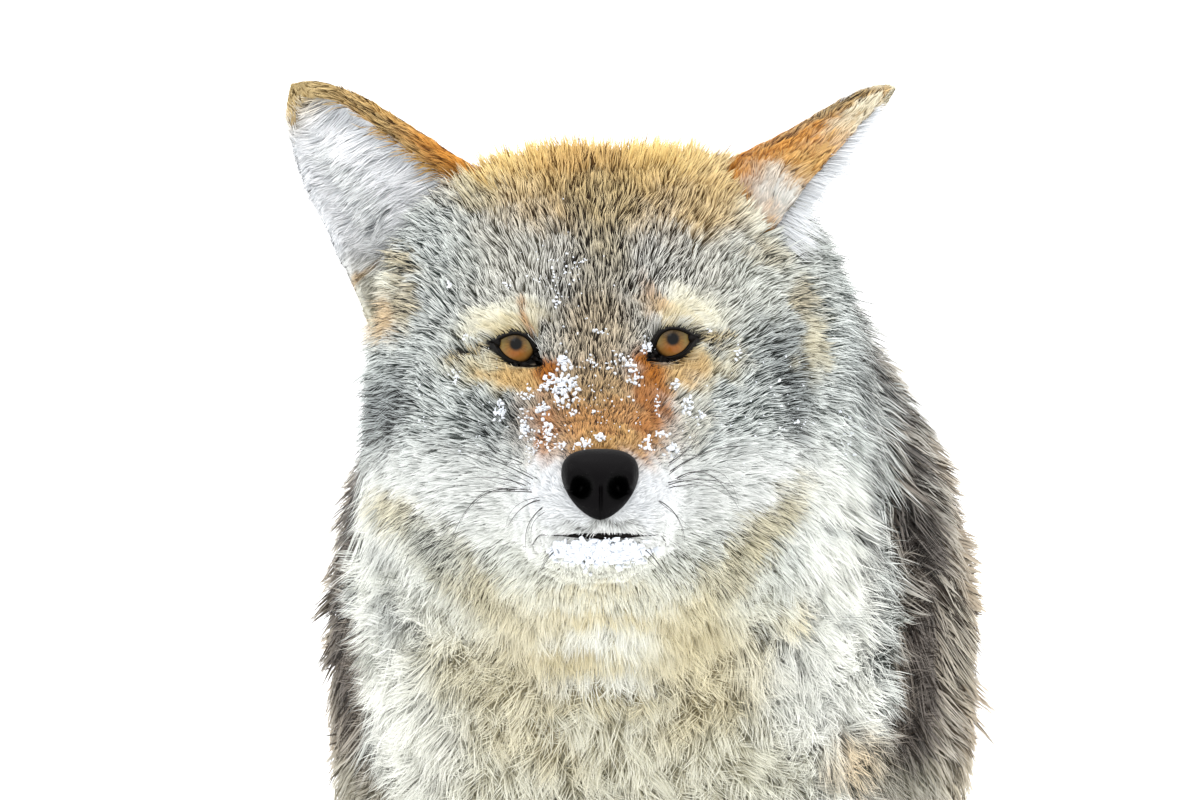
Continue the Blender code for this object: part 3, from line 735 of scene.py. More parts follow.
def body_tones(point):
    """Tones of the body, blended by height and by how far back: grizzled saddle, two dark bands with a
    pale one between behind the shoulder, fawn flanks and a pale underside."""
    back = point[:, 1] + EYES_AHEAD + 0.006 * waves(point, 0.05, 5) - 0.012 * (point[:, 0] < 0)
    high = point[:, 2] + 0.012 * waves(point, 0.06, 6)
    patch = waves(point, 0.035, 7)

    def band(start, end, soft):
        return smooth(start - soft, start + soft, back) * (1 - smooth(end - soft, end + soft, back))

    saddle, below = smooth(0.16, 0.22, high), 1 - smooth(0.19, 0.25, high)
    tone = one_tone("fawn", point)
    for name, share in (
        ("umber", smooth(0.1, 0.9, patch) * 0.25),
        ("grizzle", smooth(0.08, 0.26, high + 0.03 * patch) * 0.9),
        ("ash", smooth(0.0, 0.6, patch) * saddle * 0.7),
        ("slate", smooth(0.2, 0.7, -patch) * saddle * 0.35),
        ("slate", 0.85 * band(0.110, 0.140, 0.006) * below),
        ("ash", 0.85 * band(0.140, 0.166, 0.006) * below),
        ("soot", 0.78 * band(0.168, 0.208, 0.008) * below),
        ("slate", 0.35 * band(0.208, 0.235, 0.012) * below),
        ("cream", (1 - smooth(0.00, 0.05, high)) * 0.5),
    ):
        tone = lay(tone, name, share)
    return tone


def coat_tones(point):
    """Tones of the coat at points: the marks of face and chest one over the other, each an ellipse
    with soft edges, giving way to the body's tones behind the neck."""
    wobble = np.stack([waves(point, 0.016, 11), waves(point, 0.016, 12)], axis=-1)
    place = face_plane(point) + MARK_WOBBLE * wobble
    tone = one_tone("ash", point)
    for x, z, wide, tall, tilt, name, strength in MARKS:
        a, b = turned(place[:, 0] - x, place[:, 1] - z, tilt)
        a, b = a / wide, b / tall
        tone = lay(tone, name, mark_share(a * a + b * b, strength))
    low, left = 1 - smooth(0.02, 0.15, point[:, 2]), 1 - smooth(-0.04, 0.02, point[:, 0])
    start = BODY_FROM + BODY_LATER * np.maximum(low, left)
    behind = smooth(0.0, 0.016, point[:, 1] + EYES_AHEAD - start)[:, None]
    return tone * (1 - behind) + body_tones(point) * behind


def skin_colour(outer):
    """Colour of the skin under the outside of a coat: that of the roots, partly painted shade, with a share
    of the tips.
    """
    tone = coat_tones(outer.reshape(-1, 3)).reshape(*outer.shape[:2], -1)
    return mix(tone[..., 0:3], tone[..., 3:6], SKIN_TIP_SHARE)


# ---- Meshes -------------------------------------------------------------------------------------
def new_piece(name, points, corners, starts, material, colours=None, cells=None):
    """A mesh object from whole arrays: points, the corners of its faces and where each face starts."""
    mesh = bpy.data.meshes.new(name)
    mesh.vertices.add(len(points))
    mesh.vertices.foreach_set("co", np.ascontiguousarray(points, np.float32).ravel())
    mesh.loops.add(len(corners))
    mesh.loops.foreach_set("vertex_index", np.ascontiguousarray(corners, np.int32).ravel())
    mesh.polygons.add(len(starts))
    mesh.polygons.foreach_set("loop_start", np.ascontiguousarray(starts, np.int32))
    mesh.update(calc_edges=True)
    mesh.shade_smooth()
    if colours is not None:
        layer = mesh.color_attributes.new("coat", "FLOAT_COLOR", "POINT")
        full = np.ones((len(points), 4), np.float32)
        full[:, :3] = colours
        layer.data.foreach_set("color", full.ravel())
    if cells is not None:
        layer = mesh.uv_layers.new(name="OFBake")
        layer.data.foreach_set("uv", np.ascontiguousarray(cells[corners], np.float32).ravel())
    mesh.materials.append(material)
    piece = bpy.data.objects.new(name, mesh)
    bpy.context.scene.collection.objects.link(piece)
    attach(piece, "root")
    return piece


def face_starts(lengths):
    """Where each face starts in the list of corners, from the numbers of corners."""
    return np.concatenate([[0], np.cumsum(lengths)[:-1]])


def grid_faces(rows, columns, closed):
    """Corners of the quads of a grid."""
    i, j = np.meshgrid(np.arange(rows - 1), np.arange(columns if closed else columns - 1), indexing="ij")
    k = (j + 1) % columns
    corners = (i * columns + j, (i + 1) * columns + j, (i + 1) * columns + k, i * columns + k)
    return np.stack(corners, axis=-1).reshape(-1, 4)


def sheet(name, grid, material, colours, closed=True, capped=True):
    """A surface through a grid of points; fans close its first and last rows where it is capped."""
    rows, columns = grid.shape[:2]
    points, colours = grid.reshape(-1, 3), colours.reshape(-1, 3)
    quads, fans = grid_faces(rows, columns, closed), []
    for row in (0, rows - 1) if capped else ():
        edge = row * columns + np.arange(columns)
        ahead = np.roll(edge, -1)
        pair = (edge, ahead) if row == 0 else (ahead, edge)
        fans.append(np.stack([np.full(columns, len(points)), *pair], axis=-1))
        points = np.vstack([points, grid[row].mean(axis=0)])
        colours = np.vstack([colours, colours[row * columns]])
    corners = np.concatenate([quads.ravel(), *(fan.ravel() for fan in fans)])
    lengths = np.concatenate([np.full(len(quads), 4), *(np.full(len(fan), 3) for fan in fans)])
    return new_piece(name, points, corners, face_starts(lengths), material, colours)


def ribbons(name, path, side, width, colour, material):
    """Flat hairs: each course of points gets two edges, side times half the width, and one tip. In the
    layout for baking each hair has a cell of its own."""
    steps, count = path.shape[0] - 1, path.shape[1]
    half = side * (width / 2)[..., None]
    left, right = path[:-1] - half, path[:-1] + half
    rings = np.stack([left, right], axis=2).transpose(1, 0, 2, 3).reshape(count, 2 * steps, 3)
    points = np.concatenate([rings, path[-1][:, None]], axis=1)
    per = 2 * steps + 1
    start = (np.arange(count) * per)[:, None]
    k = 2 * np.arange(steps - 1)[None]
    quads = np.stack([start + k, start + k + 1, start + k + 3, start + k + 2], axis=-1).reshape(-1, 4)
    tips = start + np.array([[per - 3, per - 2, per - 1]])
    corners = np.concatenate([quads.ravel(), tips.ravel()])
    starts = np.concatenate([np.arange(len(quads)) * 4, len(quads) * 4 + np.arange(count) * 3])
    shades = np.concatenate([np.repeat(colour[:-1], 2, axis=0), colour[-1:]], axis=0).transpose(1, 0, 2)
    across = math.ceil(math.sqrt(count))
    cell = np.stack(np.divmod(np.arange(count), across), axis=-1)[:, None] / across
    sides = [i % 2 if i < per - 1 else 0.5 for i in range(per)]
    inner = np.array([[(0.25 + 0.5 * sides[i], 0.2 + 0.6 * (i // 2) / steps) for i in range(per)]])
    cells = cell + inner / across
    return new_piece(
        name, points.reshape(-1, 3), corners, starts, material, shades.reshape(-1, 3), cells.reshape(-1, 2)
    )


# ---- Hair ---------------------------------------------------------------------------------------
def tufts(root, size, seed):
    """The tuft of each hair: the cell of the given size, warped by soft noise, that its root lies in."""
    warp = np.stack([waves(root, size * 5, seed + i) for i in range(3)], axis=-1)
    cell = np.floor((root + warp * size * 0.8) / size).astype(np.int64)
    _, member = np.unique((cell * np.array(CELL_PRIMES)).sum(axis=-1), return_inverse=True)
    return member


def each_tuft(draw, first, second, member, shape=()):
    """One random value a tuft, from a uniform or normal draw, given to each of its hairs."""
    return draw(first, second, (member.max() + 1, *shape))[member]


def draw_together(path, member, pull):
    """Moves each point of the hairs towards the mean of its tuft by pull times t^1.3."""
    share = np.bincount(member)
    steps = len(path) - 1
    for k in range(1, steps + 1):
        sums = [np.bincount(member, path[k, :, axis]) for axis in range(3)]
        mean = np.stack(sums, axis=-1) / share[:, None]
        path[k] += (mean[member] - path[k]) * pull * (k / steps) ** 1.3


def grow(kind, hide, density, fur, seed, share, thickness=1.0, tones=coat_tones):
    """A piece of hair. Each hair sets out along the hide from its root, follows the flow and its own
    weight in equal steps, and rises from the skin to the coat's outside as 1 - (1 - t)^1.7. Stray
    turns single hairs and wool turns whole tufts. Some tips stand out of the coat, by up to lift."""
    hairs, steps, width, stretch, tuft, pull, stray, wool, lean, lift = HAIR[kind]
    rng = np.random.default_rng(seed)
    u, v = hide.scatter(int(hairs * share), density, rng)
    field = hide.read(u, v)
    root, count = field[:, PLACE], len(u)
    fine, coarse = tufts(root, tuft, seed + 1), tufts(root, tuft * COARSE_TUFT, seed + 2)
    reach = rng.uniform(*HAIR_REACH, count) ** 0.8 * each_tuft(rng.uniform, *TUFT_REACH, fine)
    length = field[:, LENGTH] * stretch * rng.uniform(*HAIR_LENGTH, count)
    fall = field[:, FALL]
    sway = rng.normal(0, stray, count) + each_tuft(rng.normal, 0, wool, fine)
    sway = sway + each_tuft(rng.normal, 0, wool * COARSE_WOOL, coarse)
    sway = (sway + waves(root, FLOW_SIZE, seed + 40) * FLOW_TURN)[:, None]
    path, upward = [], []
    for k in range(steps + 1):
        normal = unit(field[:, NORMAL])
        rise = reach * (1 - (1 - k / steps) ** 1.7)
        path.append(field[:, PLACE] - normal * (field[:, DEPTH] * (1 - rise))[:, None])
        upward.append(normal)
        if k < steps:
            down = np.array([0.0, 0.0, -1.0]) + normal[:, 2:3] * normal
            course = unit(field[:, LIES]) * (1 - fall)[:, None] + down * fall[:, None]
            course = unit(course - dot(course, normal) * normal)
            course = course * np.cos(sway) + np.cross(normal, course) * np.sin(sway)
            rows, columns = grid_steps(field, course * (length / steps)[:, None])
            u, v = u + rows, v + columns
            field = hide.read(u, v)
    path, upward = np.array(path), np.array(upward)
    draw_together(path, coarse, pull * COARSE_PULL)
    draw_together(path, fine, pull)
    tilt = each_tuft(rng.normal, 0, lean, coarse, (3,))
    stand = lift * rng.uniform(0, 1, count) ** 4
    for k in range(1, steps + 1):
        t = k / steps
        path[k] += tilt * (length * t**1.5)[:, None] + upward[0] * (stand * t**2)[:, None]
    path[..., 2] = np.maximum(path[..., 2], FLOOR_GAP)
    free = clear_of_face(path).all(axis=0)
    return brushed(
        f"{kind}_fur", path[:, free], upward[:, free], fur, rng, fine[free], coarse[free],
        width * thickness, tones, HAIR_TWIST,
    )


def brushed(name, path, upward, fur, rng, fine, coarse, width, tones, twist):
    """Turns courses of hairs into coloured ribbons: pale tips over darker roots, whose darkness is partly
    the underfur's own and partly painted shade deep in the coat, dark guard hairs in the share that
    the tone gives, and every tuft a little lighter or darker."""
    steps, count = len(path) - 1, path.shape[1]
    tangent = unit(np.diff(path, axis=0))
    side = unit(np.cross(tangent, upward[:-1]))
    turn = rng.uniform(-twist, twist, count)[None, :, None]
    side = side * np.cos(turn) + np.cross(tangent, side) * np.sin(turn)
    taper = 1 - (np.arange(steps) / steps) ** 1.6 * 0.75
    widths = width * taper[:, None] * rng.uniform(*HAIR_WIDTH, count)[None]
    tone = tones(path[0] * 0.35 + path[-1] * 0.65)
    root, tip, black = tone[:, 0:3], tone[:, 3:6], tone[:, 6]
    draw = rng.uniform(0, 1, count) * OWN_DRAW + each_tuft(rng.uniform, 0, 1, fine) * TUFT_DRAW
    dark = draw < BLACK_SHARE * black
    bright = rng.uniform(*HAIR_BRIGHT, count) * each_tuft(rng.uniform, *TUFT_BRIGHT, coarse)
    tip = tip + (root - tip) * rng.uniform(0, 1, count)[:, None] ** 2 * FADED_TIP
    ink = linear(BLACK_HAIR) * 0.7 + root * 0.25
    shades = []
    for k in range(steps + 1):
        t = smooth(0.15, 0.85, np.full(count, k / steps))[:, None]
        shades.append(np.where(dark[:, None], ink + root * 0.25 * t, mix(root, tip, t) * bright[:, None]))
    piece = ribbons(name, path, side, widths, np.array(shades), fur)
    return piece


def lid_reach(name, place, outline):
    """How far out places of the face plane lie from the middle of the lids: 1 on the outline, which is
    two arcs of height h (1 - |x/a|^2.2) between the corners."""
    (x, y, z), slant = EYES[name]
    inward, above, half, upper, lower = outline
    middle = face_plane(np.array([[x, y - EYES_AHEAD - EYE_RADIUS, z]]))[0]
    a, b = turned(place[..., 0] - middle[0], place[..., 1] - middle[1], slant)
    a, b = a + math.copysign(inward, slant), b - above
    height = np.where(b > 0, upper, lower)
    return (np.abs(a / half) ** LID_POWER + np.abs(b / height)) ** (1 / 1.5)


def mouth_gap(x):
    """Half the height of the parted lips at x (m): h (1 - (x / a)^2)^1.2 about the middle of the mouth."""
    return MOUTH_OPEN * np.clip(1 - ((x - MOUTH_MIDDLE) / MOUTH_HALF) ** 2, 0, 1) ** 1.2


def clear_of_face(path):
    """Keeps hair off the nose pad, the eyes and the line of the mouth, and above the base."""
    place, back = face_plane(path), path[..., 1] + EYES_AHEAD
    high = (path[..., 2] - NOSE_MIDDLE) * 1000
    half, up, down = NOSE_CLEAR
    pad = (place[..., 0] / half) ** 2 + (high / np.where(high > 0, up, down)) ** 2 < 1
    free = ~(pad & (back < PAD_BEFORE))
    for name in EYES:
        free &= ~((lid_reach(name, place, LID_RIM) < RIM_CLEAR) & (back < LIDS_BEFORE))
    lips = np.abs(path[..., 2] - MOUTH_HEIGHT) < LIPS_CLEAR * mouth_gap(path[..., 0])
    free &= ~(lips & (back < LIPS_BEFORE))
    free[0] &= path[0, :, 2] > LOWEST_ROOT
    return free


# ---- Materials ----------------------------------------------------------------------------------
def node(tree, kind, settings=None, **links):
    """Adds a node, sets its properties, and sets or links its inputs, given by name or as i0, i1..."""
    new = tree.nodes.new(kind)
    for key, value in (settings or {}).items():
        setattr(new, key, value)
    for key, value in links.items():
        socket = new.inputs[int(key[1:])] if key[1:].isdigit() else new.inputs[key.replace("_", " ")]
        if isinstance(value, bpy.types.NodeSocket):
            tree.links.new(value, socket)
        else:
            socket.default_value = value
    return new


def surface(name, **values):
    """A new material with its Principled shader, whose sockets take the given values."""
    material = bpy.data.materials.new(name)
    material.use_nodes = True
    tree = material.node_tree
    shader = tree.nodes["Principled BSDF"]
    for key, value in values.items():
        shader.inputs[key.replace("_", " ")].default_value = value
    return material, tree, shader


def painted(tree, shader):
    """Lets the piece's own colour attribute give the base colour."""
    colour = node(tree, "ShaderNodeAttribute", {"attribute_name": "coat"})
    tree.links.new(colour.outputs["Color"], shader.inputs["Base Color"])
    return colour


def guard_hair():
    """Keratin guard hair, grown: a soft gloss along each hair and a pale halo where it is grazed."""
    material, tree, shader = surface(
        "keratin_guard_hair", Roughness=0.62, IOR=1.55, Specular_IOR_Level=0.10, Sheen_Weight=0.04,
        Sheen_Roughness=0.5,
    )
    painted(tree, shader)
    return material


def bare_skin():
    """Skin under the coat: matt, mottled by the roots of the hairs, 1 mm apart."""
    material, tree, shader = surface("furred_skin", Roughness=0.9, Specular_IOR_Level=0.15)
    colour = painted(tree, shader)
    place = node(tree, "ShaderNodeTexCoord")
    grain = node(tree, "ShaderNodeTexNoise", Vector=place.outputs["Object"], Scale=1000.0, Detail=2.0)
    mottle = node(tree, "ShaderNodeMix", {"data_type": "RGBA", "blend_type": "MULTIPLY"}, i0=0.5)
    tree.links.new(colour.outputs["Color"], mottle.inputs["A"])
    tree.links.new(grain.outputs["Fac"], mottle.inputs["B"])
    tree.links.new(mottle.outputs["Result"], shader.inputs["Base Color"])
    return material


def wet_eye():
    """A living eye's clear cornea: a wet, sharp reflection over the painted iris."""
    material, tree, shader = surface(
        "wet_cornea", Roughness=0.5, Specular_IOR_Level=0.04, Coat_Weight=0.4, Coat_Roughness=0.03,
        Coat_IOR=1.38,
    )
    painted(tree, shader)
    return material


def leather(name, roughness, pebble, strength, shine=0.10):
    """Bare dark skin: pebbled at the given size in m, half dry, so that its highlights are broad and grey."""
    material, tree, shader = surface(name, IOR=1.45, Specular_IOR_Level=shine)
    painted(tree, shader)
    place = node(tree, "ShaderNodeTexCoord").outputs["Object"]
    height = node(tree, "ShaderNodeTexVoronoi", Vector=place, Scale=1 / pebble).outputs["Distance"]
    grain = node(tree, "ShaderNodeTexNoise", Vector=place, Scale=0.4 / pebble, Detail=4.0).outputs["Fac"]
    bump = node(tree, "ShaderNodeBump", Strength=strength, Distance=pebble * 0.3, Height=height)
    tree.links.new(bump.outputs["Normal"], shader.inputs["Normal"])
    rough = node(tree, "ShaderNodeMapRange", Value=grain, i3=roughness - 0.10, i4=roughness + 0.14)
    tree.links.new(rough.outputs["Result"], shader.inputs["Roughness"])
    return material


def whisker_horn():
    """Whisker: stiff black horn with a thin highlight."""
    return surface("black_whisker", Base_Color=(*linear("#14110e"), 1), Roughness=0.4)[0]


def dry_snow():
    """Dry snow: clear grains that scatter light, so even their shaded sides stay pale and cool."""
    return surface(
        "dry_snow", Base_Color=(*linear("#d8dde4"), 1), Roughness=0.7, Subsurface_Weight=0.3,
        Subsurface_Radius=(0.9, 0.95, 1.0), Subsurface_Scale=0.0015,
    )[0]


# ---- Skin and coat ------------------------------------------------------------------------------
def build_skin(hide):
    """The bare skin under the coat, closed at the muzzle and the back and cut flat at the base."""
    grid = hide.skin[::2, ::2].copy()
    grid[..., 2] = np.maximum(grid[..., 2], 0.0)
    colour = skin_colour(hide.outer[::2, ::2])
    place, back = face_plane(grid), grid[..., 1] + EYES_AHEAD
    for name in EYES:
        rim = (lid_reach(name, place, LID_RIM) < 0.9) & (back < LIDS_BEFORE)
        colour = np.where(rim[..., None], linear(LID_BLACK), colour)
    piece = sheet("furred_skin", grid, bare_skin(), colour)
    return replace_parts(piece, "head_and_shoulders")


def build_coat(hide, fur, share, thickness):
    """The coat of the head, neck and body, in regions from the nose back. Fewer hairs grow where the
    coat faces back, and stray guard hairs grow most there."""
    rows, columns = hide.outer.shape[:2]
    station = np.arange(rows)[:, None] / ROWS_PER_STATION + np.zeros((1, columns))
    facing = smooth(-0.3, 0.5, -hide.normal[..., 1])
    ahead, far_ahead = 0.5 + 0.5 * facing, 0.4 + 0.6 * facing
    high = hide.outer[..., 2]
    upper, low, above = smooth(0.158, 0.166, high), 1 - smooth(0.115, 0.135, high), 1.0 * (high > -0.005)

    def between(start, end):
        return ((station >= start) & (station < end)).astype(float)

    regions = {
        "muzzle": between(0.3, 7),
        "face": between(7, 11.3) * upper * ahead,
        "cheek": between(7, 11.8) * (1 - upper) * far_ahead,
        "crown": between(11.3, 14) * (1 - low) * ahead,
        "chest": between(10.8, 15.6) * low * above * far_ahead,
        "body": (between(14, 23) * (1 - low) + between(15, 23) * low) * ahead * above,
        "guard": between(8, 14.5) * (1.3 - facing),
    }
    for seed, (kind, density) in enumerate(regions.items(), 101):
        grow(kind, hide, density, fur, seed, share, thickness)


# ---- Ears ---------------------------------------------------------------------------------------
def ear_tones(ear, marks, ground):
    """Tones of an ear over its height a and its width b: a ground tone with marks like the face's."""
    base, length, along, across, _ = ear_axes(ear)

    def tones(point):
        a = (point - base) @ along / length
        b = (point - base) @ across / (EAR_HALF_WIDTH * (1 - EAR_TAPER * np.clip(a, EAR_ROOT, 1)))
        a = a + 0.02 * waves(point, 0.012, 61)
        b = b + 0.05 * waves(point, 0.012, 62)
        tone = one_tone(ground, point)
        for at_a, at_b, tall, wide, name, strength in marks:
            away = ((a - at_a) / tall) ** 2 + ((b - at_b) / wide) ** 2
            tone = lay(tone, name, mark_share(away, strength))
        return tone

    return tones


def build_ear(name, ear, fur, skin, share):
    """An ear: its bare cup, rolled at the rims, long fur within and short fur on the rims and behind."""
    hide, lining = ear_hide(ear)
    colours = []
    for part, ground, where in (("lining", "down", lining), ("back", "ochre", ~lining)):
        tones = ear_tones(ear, EAR_MARKS[f"{name}_{part}"], ground)
        tone = tones(hide.outer.reshape(-1, 3)).reshape(*hide.outer.shape[:2], -1)
        colours.append(tone[..., 0:3] * 0.5 + tone[..., 3:6] * 0.5)
        seed = 210 + 10 * ear[3] + (part == "lining")
        grow(f"{name}_ear_{part}", hide, where.astype(float), fur, seed, share, tones=tones)
    sheet(f"{name}_ear_skin", hide.skin, skin, np.where(lining[..., None], *colours))


def build_fringe(name, ear, fur, share, length):
    """Long hairs from the ear's front rim that fan out over its mouth: up the ear near the tip and
    out of it near the base, each bending down a little by its weight, as t^2."""
    _, _, along, across, mouth = ear_axes(ear)
    rng = np.random.default_rng(300)
    count = int(FRINGE_HAIRS * share)
    a = -0.12 + 0.84 * rng.uniform(0, 1, count) ** 1.15
    b = rng.uniform(0.35, 1.0, count)
    root = ear_arc(ear, a, b, np.full(count, -0.001), 0.0)
    way = along * (0.20 + 0.95 * a)[:, None] + mouth * (0.95 - 0.55 * a)[:, None] + across * 0.15
    way = unit(way + rng.normal(0, 0.13, (count, 3)))
    long = (length * (1 - 0.62 * a) * rng.uniform(0.55, 1.1, count))[:, None]
    bend = np.array([0, 0, -0.10])
    path = np.array([root + way * long * t + bend * long * t * t for t in (0, 1 / 3, 2 / 3, 1)])
    fine, coarse = tufts(root, 0.004, 301), tufts(root, 0.010, 302)
    draw_together(path, fine, 0.45)
    upward = np.tile(unit(-np.cross(way, [0, 0, 1.0])), (4, 1, 1))
    brushed(
        f"{name}_ear_fringe", path, upward, fur, rng, fine, coarse, FRINGE_WIDTH,
        lambda point: one_tone("snow", point), FRINGE_TWIST,
    )


# ---- Eyes ---------------------------------------------------------------------------------------
def ball_radius(turn):
    """Radius of the eyeball at an angle from its axis, with the bulge of its cornea."""
    return EYE_RADIUS + CORNEA_BULGE * np.exp(-((turn / CORNEA_TURN) ** 4))


def ball_depth(name, x, z):
    """How far forward (y, m) the eyeball stands at x and z."""
    centre = EYES[name][0]
    away = np.minimum(np.hypot(x - centre[0], z - centre[2]), EYE_RADIUS * 0.96)
    return centre[1] - EYES_AHEAD - np.sqrt(ball_radius(np.arcsin(away / EYE_RADIUS)) ** 2 - away**2)


def build_eye(name):
    """An eyeball on the axis of its gaze: a clear bulge over iris and pupil, the iris darker towards its
    top with painted shade of the lids, then the ball, dark where it goes under the lids."""
    centre = np.array(EYES[name][0]) - np.array([0, EYES_AHEAD, 0])
    turns = np.arange(112) * 2 * math.pi / 112
    polar, turn = np.meshgrid(np.linspace(0.012, math.pi - 0.03, 76), turns, indexing="ij")
    x, z = np.sin(polar) * np.cos(turn), np.sin(polar) * np.sin(turn)
    up, ahead = math.radians(GAZE_UP), -np.cos(polar)
    gaze = (x, ahead * math.cos(up) + z * math.sin(up), z * math.cos(up) - ahead * math.sin(up))
    grid = centre + np.stack(gaze, axis=-1) * ball_radius(polar)[..., None]
    streak = waves(np.stack([np.cos(turn), np.sin(turn), 0.10 * polar], axis=-1), 0.13, 31)
    fleck = waves(np.stack([x, polar * 0, z], axis=-1), 0.16, 32)
    # painted shade of the lids: the iris runs from upper, dark at its top, to lower at its bottom, with its
    # own streaks and flecks
    height = z / 0.66
    bright = np.clip(0.55 - 0.38 * height + 0.13 * streak + 0.10 * fleck, 0, 1)[..., None]
    iris = linear(IRIS["upper"]) * (1 - bright) + linear(IRIS["lower"]) * bright
    ring = np.exp(-(((polar - 0.52) / 0.13) ** 2))[..., None]
    iris = iris + (linear(IRIS["ring"]) - iris) * ring * 0.55
    warm = np.exp(-(((height + 0.55) / 0.35) ** 2 + (x / 0.45) ** 2))[..., None]
    iris = iris + (linear(IRIS["warm"]) - iris) * warm * 0.65
    # more painted shade of the upper lid over the top of the iris
    shade = smooth(-0.05, 0.75, height + 0.10 * fleck)[..., None]
    iris = iris * (1 - 0.75 * shade)
    iris = mix(iris, linear(IRIS["pupil"]), 1 - smooth(0.17, 0.31, polar)[..., None])
    iris = mix(iris, linear(IRIS["edge"]), smooth(0.60, 0.78, polar)[..., None])
    piece = sheet(f"{name}_ball", grid, wet_eye(), iris)
    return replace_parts(piece, name)


def lid_outline(name, outline, turn):
    """Points (x, z) of a lid outline at the given angles: the slanted axes of lid_reach, run back."""
    (eye_x, _, eye_z), slant = EYES[name]
    inward, above, half, upper, lower = outline
    run = np.cos(turn)
    height = np.where(np.sin(turn) >= 0, upper, -lower) * (1 - np.abs(run) ** LID_POWER)
    x, z = turned(run * half - math.copysign(inward, slant), height + above, -slant)
    return np.stack([eye_x + x / 1000, eye_z + z / 1000], axis=-1)


def surface_depth(grid, x, z):
    """y of a grid's facing side at places x and z (m): mean of the near grid points, weighted by the
    inverse fourth power of their distance, softened within 0.5 mm."""
    flat = grid.reshape(-1, 3)
    near = flat[(np.abs(flat[:, 0] - x.mean()) < 0.03) & (np.abs(flat[:, 2] - z.mean()) < 0.03)]
    near = near[np.abs(near[:, 1] + EYES_AHEAD - 0.005) < 0.045]
    gap = (near[None, :, 0] - x[:, None]) ** 2 + (near[None, :, 2] - z[:, None]) ** 2
    weight = 1 / (gap + 2.5e-7) ** 2
    return (weight * near[None, :, 1]).sum(axis=1) / weight.sum(axis=1)


def lid_hide(name, hide):
    """The lids as a hide about the eye: a rim that stands on the eyeball, then skin that wraps over the
    ball as a cone from its steep part on, and sinks into the skin of the head where the two meet.
    Returns it and the share of each row: 0 on the opening, 1 on the dark rim, 2 under the coat."""
    (eye_x, _, eye_z), slant = EYES[name]
    middle, steep = np.array([eye_x, eye_z]), LID_STEEP * EYE_RADIUS
    turn = np.linspace(0, 2 * math.pi, 160, endpoint=False)
    inner, rim = (lid_outline(name, outline, turn) for outline in (LID_OPENING, LID_RIM))
    around = turn + math.radians(slant)
    field = rim.mean(axis=0) + np.stack([np.cos(around), np.sin(around)], axis=-1) * LID_FIELD
    rows, shares = [], np.concatenate([LID_ROWS, np.linspace(1.06, 2, 16)])
    for share in shares:
        spot = mix(inner, rim, share) if share < 1 else mix(rim, field, share - 1)
        x, z = spot[:, 0], spot[:, 1]
        away = np.hypot(x - eye_x, z - eye_z)
        near = np.minimum(1.0, steep / away)[:, None]
        on_ball = ball_depth(name, *(middle + (spot - middle) * near).T)
        cover = on_ball + LID_CONE * np.maximum(away - steep, 0)
        meet = soft_least(cover, surface_depth(hide.skin, x, z), LID_SHARP)
        t, lift = float(smooth(0.0, 0.9, np.array(share))), float(np.interp(share, *LID_LIFT))
        rows.append(np.stack([x, ball_depth(name, x, z) * (1 - t) + meet * t - lift, z], axis=-1))
    grid = np.array(rows)
    corner = np.array([eye_x - math.copysign(0.012, slant), -EYES_AHEAD, eye_z - 0.008])
    way = unit(grid - corner)
    if grid_ways(grid)[2][..., 1].mean() > 0:
        grid, way = grid[:, ::-1], way[:, ::-1]
    thick = np.full(grid.shape[:2], LID_THICK)
    outer = grid + grid_ways(grid)[2] * thick[..., None]
    return Hide(outer, thick, 0 * thick + LID_HAIR, 0 * thick, way), shares


def build_lids(name, hide, material, fur, share):
    """The lids: a dark wet rim, the skin about it and its short fur, which fans out from the inner corner."""
    lids, shares = lid_hide(name, hide)
    shares = shares[:, None] + np.zeros(lids.area.shape)
    grow(f"{name}_lid", lids, (shares > 0.98).astype(float), fur, 230, share)
    colour = np.where(shares[..., None] < 1.15, linear(LID_BLACK), skin_colour(lids.outer))
    return sheet(f"{name}_lids", lids.skin, material, colour, capped=False)


# ---- Nose and mouth -----------------------------------------------------------------------------
def bell(x, z, at_x, at_z, wide, tall, power=1.0):
    """A bell curve about a place, flat on top where power is above 1."""
    return np.exp(-((((x - at_x) / wide) ** 2 + ((z - at_z) / tall) ** 2) ** power))


def near_line(x, z, start, end, wide):
    """A ridge of bell-shaped section along a line from start to end."""
    run = np.array(end) - np.array(start)
    t = np.clip(((x - start[0]) * run[0] + (z - start[1]) * run[1]) / (run @ run), 0, 1)
    return np.exp(-(((x - start[0] - run[0] * t) ** 2 + (z - start[1] - run[1] * t) ** 2) / wide**2))


